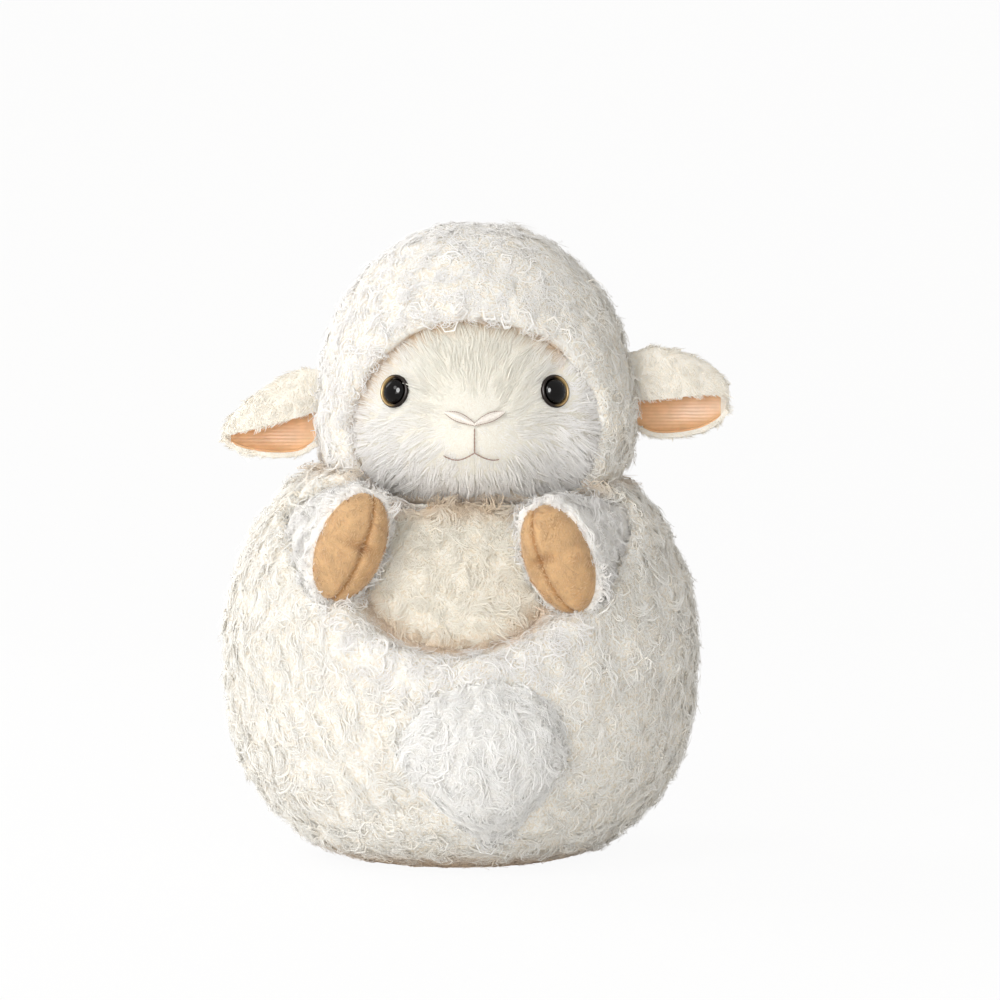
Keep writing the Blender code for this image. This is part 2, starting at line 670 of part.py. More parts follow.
def make_head(materials, boxes, face):
    """The hood, the face panels and the stuffing inside them."""
    core_space = head_form("head_core_space", HOOD_THICKNESS, muzzle=True)
    neck_cut = cylinder_guide(
        "head_neck_opening", NECK_OPENING_RADIUS, 0.0, HEAD_WIDEST_HEIGHT - HOOD_THICKNESS, neck_frame()
    )
    opening = face_region("face_opening", 0.0)
    shank_holes, washer_pockets = zip(*(make_eye(side, materials, face) for side in SIDES))
    for side, word in SIDES.items():
        hood = head_form(f"hood_panel_{word}", 0.0)
        as_piece(hood, materials["curly_wool"])
        keep_inside(hood, boxes["head", side])
        subtract(hood, core_space, neck_cut, opening, ear_groove(side))
    face_keep = face_region("face_region", FIT_GAP)
    gusset_cut = gusset_region("gusset_opening", 0.0)
    for side, word in SIDES.items():
        cheek = head_form(f"cheek_panel_{word}", FACE_INSET, muzzle=True)
        as_piece(cheek, materials["face_plush"])
        keep_inside(cheek, boxes["head", side], face_keep)
        subtract(cheek, core_space, neck_cut, gusset_cut, *shank_holes)
    gusset = head_form("forehead_gusset", FACE_INSET, muzzle=True)
    as_piece(gusset, materials["face_plush"])
    keep_inside(gusset, face_keep, gusset_region("gusset_keep", FIT_GAP))
    subtract(gusset, core_space, *shank_holes)
    stuffing = head_form("head_stuffing", HOOD_THICKNESS + FIT_GAP, muzzle=True)
    neck = cylinder_guide("head_neck", NECK_CORE_RADIUS, BODY_WIDEST_HEIGHT, HEAD_WIDEST_HEIGHT, neck_frame())
    keep_inside(neck, head_form("head_neck_end", 0.0))
    join_with(stuffing, neck)
    as_piece(stuffing, materials["fibre"])
    subtract(stuffing, *washer_pockets, *shank_holes)


def pad_mesh(name, centre, half_width, half_height, taper, tilt, rings, segments, low_y, high_y):
    """A soft pad lying on a front surface. low_y and high_y give its two faces, which meet at its outline."""
    cosine, sine = math.cos(tilt), math.sin(tilt)

    def place(ring_share, turn):
        up = half_height * ring_share * math.sin(turn)
        across = half_width * ring_share * math.cos(turn) * (1 + taper * ring_share * math.sin(turn))
        return centre[0] + across * cosine - up * sine, centre[1] + across * sine + up * cosine

    loops = []
    turns = [2 * math.pi * k / segments for k in range(segments)]
    steps = [(k / rings, low_y) for k in range(rings)] + [(k / rings, high_y) for k in range(rings, -1, -1)]
    for ring_share, surface in steps:
        loop = []
        for turn in turns if ring_share > 0 else [0.0]:
            x, z = place(ring_share, turn)
            loop.append(Vector((x, surface(x, z, ring_share), z)))
        loops.append(loop)
    return lathe_mesh(name, loops, mirrored_from=rings)


def dome_share(ring_share):
    return (1 - ring_share**2) ** 0.5


def thread_along(name, points, radii, materials, face):
    """A run of stitches on the face, through points given as (x, height), with a radius at each."""
    path = bpy.data.curves.new(name, "CURVE")
    path.dimensions = "3D"
    path.bevel_depth = THREAD_RADIUS
    path.bevel_resolution = 1
    path.use_fill_caps = True
    run = path.splines.new("POLY")
    run.points.add(len(points) - 1)
    for point, (x, height), radius in zip(run.points, points, radii):
        point.co = (*face_place(face, x, height, FIT_GAP + radius), 1)
        point.radius = radius / THREAD_RADIUS
    make_object(name, path, materials["thread"])


def make_nose_and_mouth(materials, face):
    """Two satin-stitched petals that slope down to the muzzle's middle, the lip line and the smile."""
    petals = []
    radii = []
    point_height = HEAD_WIDEST_HEIGHT + NOSE_POINT_RISE
    for k in range(-STITCH_POINTS, STITCH_POINTS + 1):
        across_share = abs(k) / STITCH_POINTS
        across = NECK_X + NOSE_HALF_WIDTH * k / STITCH_POINTS
        petals.append((across, point_height + NOSE_SLOPE_RISE * across_share))
        fullness_share = NOSE_THINNEST_SHARE + (1 - NOSE_THINNEST_SHARE) * math.sin(math.pi * across_share)
        radii.append(NOSE_STITCH_RADIUS * fullness_share)
    thread_along("nose_stitching", petals, radii, materials, face)
    line_top = point_height - 2 * NOSE_STITCH_RADIUS
    line = [(NECK_X, line_top - LIP_LINE_LENGTH * k / STITCH_POINTS) for k in range(STITCH_POINTS + 1)]
    thread_along("lip_line_stitching", line, [THREAD_RADIUS] * len(line), materials, face)
    corner = line[-1][1] - 2 * THREAD_RADIUS - FIT_GAP
    smile = []
    for k in range(-STITCH_POINTS, STITCH_POINTS + 1):
        across_share = k / STITCH_POINTS
        sag = MOUTH_SAG * math.sin(math.pi * MOUTH_TURN_SHARE * abs(across_share))
        smile.append((NECK_X + MOUTH_HALF_WIDTH * across_share, corner - sag))
    thread_along("mouth_stitching", smile, [THREAD_RADIUS] * len(smile), materials, face)


def ear_root(side):
    """The middle of the ear's root bead, on its hinge line."""
    rise = EAR_RISE_LEFT if side == LEFT else EAR_RISE_RIGHT
    return Vector((NECK_X + side * (HEAD_RADIUS - EAR_BEAD_SINK), EAR_Y, HEAD_WIDEST_HEIGHT + rise))


def ear_groove(side):
    """The slot in the hood where the root bead is sewn in."""
    reach = EAR_BEAD_HALF_LENGTH + TURN_GAP
    frame = Matrix.Translation(ear_root(side))
    return cylinder_guide(
        f"ear_groove_{SIDES[side]}", EAR_BEAD_RADIUS + TURN_GAP, -reach, reach, frame, BALL_SEGMENTS
    )


def ear_point(side, along_share, turn, inset):
    """A point of the ear's cupped leaf, drawn in by an inset towards its hollow."""
    taper = (1 - along_share**EAR_TAPER) ** (1 / EAR_TAPER)
    half_height = EAR_HALF_HEIGHT * (EAR_TIP_HEIGHT_SHARE + (1 - EAR_TIP_HEIGHT_SHARE) * taper) - inset
    half_depth = EAR_ROOT_HALF_DEPTH + EAR_SWELL_DEPTH * math.sin(math.pi * along_share) - inset
    out = EAR_ROOT_OUT + (EAR_LENGTH - EAR_ROOT_OUT) * along_share
    up = half_height * math.sin(turn) - out * math.tan(EAR_DROOPS[side])
    return ear_root(side) + Vector((side * out, half_depth * math.cos(turn), up))


def ear_sheet(name, side, margin, outer_inset, inner_inset):
    """A cupped sheet between two insets of the ear's leaf, a margin of steps inside its edge, as a closed mesh."""
    steps_long, steps_round = EAR_STEPS_LONG - 2 * margin, EAR_STEPS_ROUND - 2 * margin
    columns = steps_round + 1
    layer = (steps_long + 1) * columns
    points = []
    for inset in (outer_inset, inner_inset):
        for r in range(steps_long + 1):
            along_share = EAR_TIP_SHARE * (r + margin) / EAR_STEPS_LONG
            for c in range(columns):
                sweep_share = (c + margin) / EAR_STEPS_ROUND
                turn = EAR_SWEEP_START + (EAR_SWEEP_END - EAR_SWEEP_START) * sweep_share
                points.append(ear_point(side, along_share, turn, inset))
    faces = []
    for r in range(steps_long):
        for c in range(steps_round):
            a, b = r * columns + c, r * columns + c + 1
            d, e = a + columns, b + columns
            faces += [(a, b, e), (a, e, d)]
            faces += [(a + layer, e + layer, b + layer), (a + layer, d + layer, e + layer)]
    edge = list(range(columns))
    edge += [r * columns + steps_round for r in range(1, steps_long + 1)]
    edge += [steps_long * columns + c for c in range(steps_round - 1, -1, -1)]
    edge += [r * columns for r in range(steps_long - 1, 0, -1)]
    for k, a in enumerate(edge):
        b = edge[(k + 1) % len(edge)]
        faces.append((b, a, a + layer, b + layer))
    mesh = mesh_from(name, points, faces)
    shape = bmesh.new()
    shape.from_mesh(mesh)
    bmesh.ops.recalc_face_normals(shape, faces=shape.faces)
    bmesh.ops.triangulate(shape, faces=[face for face in shape.faces if len(face.verts) > 3])
    shape.to_mesh(mesh)
    shape.free()
    return smoothed(mesh)


def make_ear(side, materials):
    word = SIDES[side]
    outer = make_object(
        f"ear_outer_{word}",
        ear_sheet(f"ear_outer_{word}", side, 0, 0.0, EAR_PILE),
        materials["ear_plush"],
    )
    bead = cylinder_guide(
        f"ear_bead_{word}", EAR_BEAD_RADIUS, -EAR_BEAD_HALF_LENGTH, EAR_BEAD_HALF_LENGTH,
        Matrix.Translation(ear_root(side)), BALL_SEGMENTS,
    )
    join_with(outer, bead)
    lining_inset = EAR_PILE + FIT_GAP
    lining = ear_sheet(
        f"ear_lining_{word}", side, EAR_LINING_MARGIN_STEPS, lining_inset, lining_inset + EAR_LINING
    )
    make_object(f"ear_lining_{word}", lining, materials["ear_lining"])


def arm_frame(side):
    """The hoof's own axes: X across the toes, Y back along the arm, Z up the hoof."""
    lean = Matrix.Rotation(-side * HOOF_LEAN, 4, "Y")
    turn = Matrix.Rotation(-side * HOOF_TURN, 4, "Z")
    from_side = HOOF_FROM_SIDE_LEFT if side == LEFT else HOOF_FROM_SIDE_RIGHT
    rise = HOOF_RISE_LEFT if side == LEFT else HOOF_RISE_RIGHT
    x = side * (BODY_HALF_WIDTH - from_side)
    centre = Vector((x, HOOF_FROM_FRONT - BODY_FRONT_DEPTH, BODY_WIDEST_HEIGHT + rise))
    return Matrix.Translation(centre) @ lean @ turn


def shoulder_point(side):
    x = side * (BODY_HALF_WIDTH - SHOULDER_FROM_SIDE)
    return Vector((x, SHOULDER_FROM_FRONT - BODY_FRONT_DEPTH, BODY_WIDEST_HEIGHT + SHOULDER_RISE))


def hull_mesh(name, meshes):
    """The smallest convex mesh round others, which are used up."""
    shape = bmesh.new()
    for mesh in meshes:
        for vertex in mesh.vertices:
            shape.verts.new(vertex.co)
        bpy.data.meshes.remove(mesh)
    bmesh.ops.remove_doubles(shape, verts=shape.verts, dist=MERGE_DISTANCE)
    result = bmesh.ops.convex_hull(shape, input=shape.verts, use_existing_faces=False)
    inner = [part for part in result["geom_interior"] if isinstance(part, bmesh.types.BMVert)]
    bmesh.ops.delete(shape, geom=inner, context="VERTS")
    bmesh.ops.recalc_face_normals(shape, faces=shape.faces)
    mesh = bpy.data.meshes.new(name)
    shape.to_mesh(mesh)
    shape.free()
    return smoothed(mesh)


def toe_ball(name, side, toe, grow):
    semi_axes = (TOE_HALF_WIDTH + grow, TOE_HALF_DEPTH + grow, HOOF_HALF_HEIGHT + grow)
    matrix = arm_frame(side) @ Matrix.Translation((toe * TOE_SPREAD, 0, 0))
    turn = matrix.to_quaternion().to_matrix().to_4x4()
    return ball_mesh(name, matrix.translation, semi_axes, turn)


def arm_hull(name, side, grow, lifts=(0.0,)):
    """The whole arm's outer shape, from shoulder to hoof, grown by a margin and swept through its lifts."""
    radius = SHOULDER_RADIUS + grow
    meshes = [ball_mesh(name, shoulder_point(side), (radius, radius, radius))]
    pivot = Matrix.Translation(shoulder_point(side))
    for lift in lifts:
        for toe in (-1, 1):
            toe_mesh = toe_ball(name, side, toe, grow)
            toe_mesh.transform(pivot @ Matrix.Rotation(-lift, 4, "X") @ pivot.inverted())
            meshes.append(toe_mesh)
    return hull_mesh(name, meshes)


def arm_sweep(side):
    """The room an arm needs as it lifts, as a cutter."""
    name = f"arm_sweep_{SIDES[side]}"
    lifts = [ARM_LIFT * k / (ARM_SWEEP_STEPS - 1) for k in range(ARM_SWEEP_STEPS)]
    return make_guide(name, arm_hull(name, side, CUFF_MARGIN + ARM_CLEARANCE, lifts))


def make_arm(side, materials):
    """Sleeve, stuffing and the two toes of the hoof."""
    word = SIDES[side]
    frame = arm_frame(side)
    core_mesh = arm_hull(f"arm_stuffing_{word}", side, -HOOF_SKIN - FIT_GAP)
    make_object(f"arm_stuffing_{word}", core_mesh, materials["fibre"])
    core_space = make_guide(f"arm_space_{word}", arm_hull(f"arm_space_{word}", side, -HOOF_SKIN))
    behind = box_guide(f"behind_hoof_{word}", (-FAR, FIT_GAP / 2, -FAR), (FAR, FAR, FAR))
    behind.data.transform(frame)
    sleeve = make_object(
        f"arm_sleeve_{word}", arm_hull(f"arm_sleeve_{word}", side, CUFF_MARGIN), materials["sleeve_plush"]
    )
    keep_inside(sleeve, behind)
    subtract(sleeve, core_space)
    for toe in (-1, 1):
        kind = "outer" if toe == side else "inner"
        name = f"hoof_{kind}_{word}"
        half = box_guide(f"{name}_region", (toe * FIT_GAP / 2, -FAR, -FAR), (toe * FAR, -FIT_GAP / 2, FAR))
        half.data.transform(frame)
        piece = make_object(name, toe_ball(name, side, toe, 0.0), materials["hoof_plush"])
        keep_inside(piece, half)
        subtract(piece, core_space)


def make_tail(materials):
    """The tail's backing cloth and its long-piled face, both sewn along the top edge."""
    centre = (TAIL_CENTRE_X, BODY_WIDEST_HEIGHT - TAIL_FALL)
    shape = (centre, TAIL_HALF_WIDTH, TAIL_HALF_HEIGHT, TAIL_TAPER, TAIL_TILT, TAIL_RINGS, TAIL_SEGMENTS)

    def backing_low(x, z, ring_share):
        return body_front_y(x, z, TURN_GAP)

    def backing_high(x, z, ring_share):
        return backing_low(x, z, ring_share) - TAIL_BACKING * dome_share(ring_share)

    def face_low(x, z, ring_share):
        return backing_high(x, z, ring_share) - FIT_GAP

    def face_high(x, z, ring_share):
        return face_low(x, z, ring_share) - TAIL_PILE * dome_share(ring_share)

    make_object("tail_backing", pad_mesh("tail_backing", *shape, backing_low, backing_high), materials["base_cloth"])
    make_object("tail_face", pad_mesh("tail_face", *shape, face_low, face_high), materials["tail_wool"])


def hang_pieces():
    """Give each moving group its axis, the ears on the head's."""
    head = ["head_stuffing", "forehead_gusset", "nose_stitching", "lip_line_stitching", "mouth_stitching"]
    for side, word in SIDES.items():
        head += [f"{kind}_{word}" for kind in ("hood_panel", "cheek_panel", "eye", "eye_rim", "eye_washer")]
        hang_on(f"ear_{word}_axis", ear_root(side), [f"ear_outer_{word}", f"ear_lining_{word}"])
        arm = [f"{kind}_{word}" for kind in ("arm_sleeve", "arm_stuffing", "hoof_inner", "hoof_outer")]
        hang_on(f"arm_{word}_axis", shoulder_point(side), arm)
    hang_on("neck_axis", Vector((NECK_X, NECK_Y, HEAD_WIDEST_HEIGHT - HEAD_DROP)), head)
    neck = bpy.data.objects["neck_axis"]
    for word in SIDES.values():
        ear = bpy.data.objects[f"ear_{word}_axis"]
        ear.parent = neck
        ear.matrix_parent_inverse = Matrix.Translation(neck.location).inverted()
    hinge_height = BODY_WIDEST_HEIGHT - TAIL_FALL + TAIL_HALF_HEIGHT + TAIL_SEAM_ALLOWANCE
    hinge = Vector((TAIL_HINGE_X, -BODY_FRONT_DEPTH - TAIL_SEAM_ALLOWANCE, hinge_height))
    hang_on("tail_axis", hinge, ["tail_backing", "tail_face"])


def main():
    clear_scene()
    materials = {
        "curly_wool": make_material("curly_wool", (0.86, 0.84, 0.79), 0.95),
        "tail_wool": make_material("tail_wool", (0.90, 0.90, 0.89), 0.95),
        "belly_wool": make_material("belly_wool", (0.78, 0.70, 0.58), 0.95),
        "face_plush": make_material("face_plush", (0.83, 0.82, 0.76), 0.90),
        "ear_plush": make_material("ear_plush", (0.83, 0.76, 0.63), 0.90),
        "ear_lining": make_material("ear_lining", (0.84, 0.52, 0.34), 0.70),
        "sleeve_plush": make_material("sleeve_plush", (0.87, 0.85, 0.82), 0.90),
        "hoof_plush": make_material("hoof_plush", (0.60, 0.36, 0.15), 0.85),
        "base_cloth": make_material("base_cloth", (0.78, 0.75, 0.70), 0.90),
        "pouch_cloth": make_material("pouch_cloth", (0.75, 0.75, 0.74), 0.80),
        "fibre": make_material("fibre", (0.92, 0.92, 0.92), 1.0),
        "thread": make_material("thread", (0.42, 0.31, 0.26), 0.60),
        "pupil": make_material("pupil", (0.005, 0.004, 0.004), 0.10),
        "iris": make_material("iris", (0.22, 0.15, 0.08), 0.25),
        "washer": make_material("washer", (0.80, 0.80, 0.80), 0.50),
    }
    boxes = split_boxes()
    arm_sweeps = {side: arm_sweep(side) for side in SIDES}
    make_body(materials, boxes, arm_sweeps)
    make_neck_seam(materials)
    face = face_finder()
    make_head(materials, boxes, face)
    make_nose_and_mouth(materials, face)
    for side in SIDES:
        make_ear(side, materials)
        make_arm(side, materials)
    make_tail(materials)
    hang_pieces()


main()
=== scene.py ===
"""Plush sheep with curly wool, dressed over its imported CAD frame.

Laid out as a Blender add-on: sizes and colours are properties, each group of pieces has its own operator,
and one panel in the 3D view's sidebar lists them. The sheep stands at height zero and faces -Y; left is +X.
"""

import functools
import math

import bmesh
import bpy
import numpy as np
from bpy.props import FloatProperty, FloatVectorProperty, IntProperty, PointerProperty
from mathutils import Matrix, Vector, noise
from mathutils.bvhtree import BVHTree


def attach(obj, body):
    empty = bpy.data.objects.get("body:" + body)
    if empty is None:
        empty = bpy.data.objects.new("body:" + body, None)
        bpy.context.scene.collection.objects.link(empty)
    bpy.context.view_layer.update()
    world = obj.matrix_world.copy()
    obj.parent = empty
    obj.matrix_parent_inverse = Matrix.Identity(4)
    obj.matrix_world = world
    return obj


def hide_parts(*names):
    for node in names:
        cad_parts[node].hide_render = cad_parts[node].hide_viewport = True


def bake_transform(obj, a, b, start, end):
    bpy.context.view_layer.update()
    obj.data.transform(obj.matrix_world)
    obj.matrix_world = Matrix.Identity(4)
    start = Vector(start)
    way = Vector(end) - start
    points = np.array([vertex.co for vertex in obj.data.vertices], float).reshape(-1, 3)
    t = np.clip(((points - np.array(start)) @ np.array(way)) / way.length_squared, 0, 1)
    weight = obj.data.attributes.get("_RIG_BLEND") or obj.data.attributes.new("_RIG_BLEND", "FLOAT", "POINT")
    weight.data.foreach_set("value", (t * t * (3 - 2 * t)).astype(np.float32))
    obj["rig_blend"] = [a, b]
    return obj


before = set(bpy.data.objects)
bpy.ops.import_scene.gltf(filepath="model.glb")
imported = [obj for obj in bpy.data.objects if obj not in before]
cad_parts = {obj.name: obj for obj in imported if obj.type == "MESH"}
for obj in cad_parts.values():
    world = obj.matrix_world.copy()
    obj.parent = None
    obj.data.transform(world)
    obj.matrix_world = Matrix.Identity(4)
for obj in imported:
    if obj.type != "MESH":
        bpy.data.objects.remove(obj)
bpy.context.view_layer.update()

bl_info = {
    "name": "Plush Sheep",
    "version": (1, 0, 0),
    "blender": (4, 5, 0),
    "location": "3D Viewport > Sidebar > Plush Sheep",
    "description": "Builds a plush sheep with curly wool over its packed frame",
    "category": "Object",
}

MM = 0.001
LEFT, RIGHT = 1, -1
SIDES = {LEFT: "left", RIGHT: "right"}

# The forms that the CAD solids follow, in metres
SIDE_SEAM_Y = -0.0050
POCKET_CENTRE = Vector((0, -0.0880, 0.1290))
POCKET_SEMI_AXES = Vector((0.0560, 0.0420, 0.0450))
NECK = Vector((0.0060, -0.0040, 0))
HEAD_RADIUS, HEAD_WIDEST_HEIGHT = 0.0625, 0.1750
HEAD_RISE, HEAD_DROP = 0.0750, 0.0380
HEAD_UPPER_ROUNDNESS, HEAD_LOWER_ROUNDNESS = 2.1, 3.0
FACE_CENTRE = Vector((0.0060, -0.0665, 0.1670))
FACE_SEMI_AXES = Vector((0.0540, 0.0620, 0.0460))
FACE_INSET = 0.0055
MUZZLE_OUT, MUZZLE_HALF_WIDTH, MUZZLE_HALF_HEIGHT, MUZZLE_HEIGHT = 0.0065, 0.0250, 0.0180, 0.1660
NOSE_POINT = Vector((0.0060, -0.0680, 0.1715))
GUSSET_OUTLINE = ((0.1720, 0.0), (0.1775, 0.0110), (0.1960, 0.0200), (0.2400, 0.0240))
EYE_SPREAD, EYE_HEIGHT, EYE_STANDOFF = 0.0300, 0.1842, 0.0006
TAIL_CENTRE, TAIL_TILT = Vector((0.0110, 0, 0.0450)), math.radians(9)
EAR_ROOTS = {LEFT: Vector((0.0673, -0.0050, 0.1850)), RIGHT: Vector((-0.0553, -0.0050, 0.1785))}
EAR_DROOPS = {LEFT: math.radians(5), RIGHT: math.radians(16)}
EAR_BURIED_OUT, EAR_LENGTH, EAR_HALF_HEIGHT = -0.0005, 0.0405, 0.0190
EAR_ROOT_HALF_DEPTH, EAR_SWELL_DEPTH = 0.0035, 0.0050
EAR_SWEEP_START, EAR_SWEEP_END = math.radians(-100), math.radians(196)
HOOF_CENTRES = {LEFT: Vector((0.0375, -0.0745, 0.1215)), RIGHT: Vector((-0.0405, -0.0745, 0.1260))}
HOOF_LEAN, HOOF_TURN = math.radians(22), math.radians(16)
PAINTED_SHADE_TAN = "#CFA876"  # the tan painted into pale pile and cloth as shade: along seams, in the pocket, under the head and chin, and where the wool meets the floor

MATHS, VECTOR = "ShaderNodeMath", "ShaderNodeVectorMath"
COLOUR_MIX = {"output": 2, "data_type": "RGBA"}
COLOUR_PRODUCT = {**COLOUR_MIX, "blend_type": "MULTIPLY"}


def linear(code):
    """An sRGB hex colour as the linear RGBA that shaders take."""
    channels = [int(code[k : k + 2], 16) / 255 for k in (1, 3, 5)]
    return (*(c / 12.92 if c <= 0.04045 else ((c + 0.055) / 1.055) ** 2.4 for c in channels), 1.0)


def colour_property(name, code, description):
    return FloatVectorProperty(
        name=name, description=description, subtype="COLOR", size=4, min=0, max=1, default=linear(code)
    )


def length_property(name, millimetres, description):
    return FloatProperty(name=name, description=description, default=millimetres * MM, min=0, unit="LENGTH")


class SheepSizes(bpy.types.PropertyGroup):
    wool_length: length_property("Wool length", 8.8, "Length of a strand of the body's curly wool")
    wool_thickness: length_property("Wool thickness", 0.64, "Thickness of a strand of curly wool")
    lock_spacing: length_property("Lock spacing", 4.8, "Distance between locks of wool")
    belly_length: length_property("Belly wool length", 7.5, "Length of a strand on the belly")
    tail_length: length_property("Tail wool length", 10.5, "Length of a strand on the tail")
    face_pile_length: length_property("Face pile length", 6.5, "Length of the straight pile on the face")
    ear_pile_length: length_property("Ear pile length", 4.2, "Length of the brushed pile on the ears")
    sleeve_pile_length: length_property("Sleeve pile length", 7.5, "Length of the fluffy pile on the sleeves")
    hoof_nap_length: length_property("Hoof nap length", 2.0, "Length of the velour's nap on the hooves")
    pupil_radius: length_property("Pupil radius", 5.0, "Radius of the eye's black dome")
    thread_width: length_property("Thread width", 0.5, "Width of the embroidery thread")
    seed: IntProperty(name="Seed", description="Fixes where the locks and strands fall", default=7, min=0)


class SheepColours(bpy.types.PropertyGroup):
    wool: colour_property("Wool", "#FBFAF6", "Tips of the body's and hood's wool")
    wool_root: colour_property("Wool root", "#F3EADA", "Roots of the wool and the cloth under it")
    belly: colour_property("Belly", "#F7F3E8", "Tips of the belly's wool")
    belly_root: colour_property("Belly root", "#EEE3CF", "Roots of the belly's wool")
    tail: colour_property("Tail", "#FDFDFC", "The tail's wool")
    face: colour_property("Face", "#F1EFE5", "The face's straight pile")
    face_root: colour_property("Face root", "#ECE6D9", "Roots of the face's pile")
    ear: colour_property("Ear", "#F9F6EE", "The ears' brushed pile")
    lining: colour_property("Ear lining", "#EFBD8C", "The satin inside the ears")
    hoof: colour_property("Hoof", "#D3AA78", "The velour of the hooves")
    thread: colour_property("Thread", "#98796B", "The embroidered nose and mouth")
    iris: colour_property("Eye rim", "#B79A6A", "The bronze ring round the pupil")
    floor: colour_property("Floor", "#F4F3F1", "The studio's floor and backdrop")


class SheepLight(bpy.types.PropertyGroup):
    key: FloatProperty(name="Key light", description="Power of the big lamp at the upper left", default=8.0, min=0)
    fill: FloatProperty(name="Fill light", description="Power of the low lamp in front", default=9.4, min=0)
    rim: FloatProperty(name="Rim light", description="Power of the lamp behind", default=7.5, min=0)
    catchlight: FloatProperty(name="Catchlight", description="Power of the lamp the eyes mirror", default=42.0, min=0)
    world: FloatProperty(name="Room light", description="Strength of the even light all round", default=0.49, min=0)


def sizes():
    return bpy.context.scene.sheep_sizes


def colours():
    return bpy.context.scene.sheep_colours


def add_node(tree, kind, inputs=(), output=None, **settings):
    """Add a node, apply its settings, give its inputs values or links, and return it or one of its outputs."""
    node = tree.nodes.new(kind)
    for name, value in settings.items():
        setattr(node, name, value)
    for key, value in inputs.items() if isinstance(inputs, dict) else enumerate(inputs):
        if isinstance(value, bpy.types.NodeSocket):
            tree.links.new(value, node.inputs[key])
        else:
            node.inputs[key].default_value = value
    return node if output is None else node.outputs[output]


def work_out(tree, values, rows):
    """Add an arithmetic node for each row of (result, node, operation, inputs), and keep its output in values.

    An input is a number or the name of a value.
    """
    for result, kind, operation, *inputs in rows:
        slots = (0, 3) if operation == "SCALE" else range(len(inputs))
        inputs = {slot: values[v] if isinstance(v, str) else v for slot, v in zip(slots, inputs)}
        values[result] = add_node(tree, kind, inputs, output=0, operation=operation)


# Materials


def new_material(name):
    """An empty material, and the way to add a node to it and get the node's first output."""
    material = bpy.data.materials.new(name)
    material.use_nodes = True
    material.node_tree.nodes.clear()
    return material, functools.partial(add_node, material.node_tree, output=0)


def finish_material(material, shader):
    add_node(material.node_tree, "ShaderNodeOutputMaterial", {"Surface": shader})
    return material


def pile_material(name, tip, root, roughness=0.85, sheen=0.35):
    """Crimped or straight polyester pile: matt and soft, paler at the tips than in the depth, where the darker root
    colour is painted shade.
    """
    if name in bpy.data.materials:
        return bpy.data.materials[name]
    material, add = new_material(name)
    along, tint, bright, warm = (
        add("ShaderNodeAttribute", output="Fac", attribute_name=label) for label in ("along", "tint", "bright", "warm")
    )
    rise = add("ShaderNodeMapRange", (along, 0.0, 0.7, 0.0, 1.0), clamp=True)
    # paler tips and roots: whiter fur near the tail and at the cheeks' woolly edges, and painted light on the pocket's
    # rim, the hood's lit side and the chin
    tips = add("ShaderNodeMix", {0: bright, 6: tuple(tip), 7: linear("#FBFAF9")}, **COLOUR_MIX)
    roots = add("ShaderNodeMix", {0: bright, 6: tuple(root), 7: linear("#F6F3EE")}, **COLOUR_MIX)
    # painted shade: the roots' darker colour stands for the shade in the pile's depth
    strand = add("ShaderNodeMix", {0: rise, 6: roots, 7: tips}, **COLOUR_MIX)
    shade = add("ShaderNodeMapRange", (tint, 0.0, 1.0, 0.94, 1.0))
    # painted shade: an attribute mixes in the tan where shade falls, along seams and recesses and at the floor
    painted_tan_shade = add("ShaderNodeMix", {0: warm, 6: strand, 7: linear(PAINTED_SHADE_TAN)}, **COLOUR_MIX)
    colour = add("ShaderNodeMix", {0: 1.0, 6: painted_tan_shade, 7: shade}, **COLOUR_PRODUCT)
    shader = add("ShaderNodeBsdfPrincipled", {
        "Base Color": colour, "Roughness": roughness, "Sheen Weight": sheen, "Sheen Roughness": 0.5,
        "Specular IOR Level": 0.15,
    })
    return finish_material(material, shader)


def cloth_material(name, colour, grain_mm=0.8, strength=0.35, top=None):
    """Knitted or woven cloth with short fibres matted on it: soft little curls, paler on top than between them, where
    the darker colour is painted shade.
    """
    if name in bpy.data.materials:
        return bpy.data.materials[name]
    material, add = new_material(name)
    place = add("ShaderNodeTexCoord", output="Object")
    # fibres are near 0.05 mm thick; the curls they make are drawn at the grain's size so that they show
    curls = {"Vector": place, "Scale": 1 / (grain_mm * MM), "Detail": 3.0, "Roughness": 0.55, "Distortion": 1.6}
    grain = add("ShaderNodeTexNoise", curls)
    height = add("ShaderNodeMapRange", (grain, 0.38, 0.56, 0.0, 1.0), clamp=True)
    # painted shade: the colour darkens where the curls' height is low
    tone = add("ShaderNodeMix", {0: height, 6: tuple(colour), 7: tuple(top or colour)}, **COLOUR_MIX)
    # painted shade: the same tan, mixed into the cloth by the same attribute
    warm = add("ShaderNodeAttribute", output="Fac", attribute_name="warm")
    tone = add("ShaderNodeMix", {0: warm, 6: tone, 7: linear(PAINTED_SHADE_TAN)}, **COLOUR_MIX)
    bump = add("ShaderNodeBump", {"Height": grain, "Strength": strength, "Distance": 1.0 * MM})
    shader = add("ShaderNodeBsdfPrincipled", {
        "Base Color": tone, "Roughness": 0.95, "Sheen Weight": 0.2, "Normal": bump,
    })
    return finish_material(material, shader)


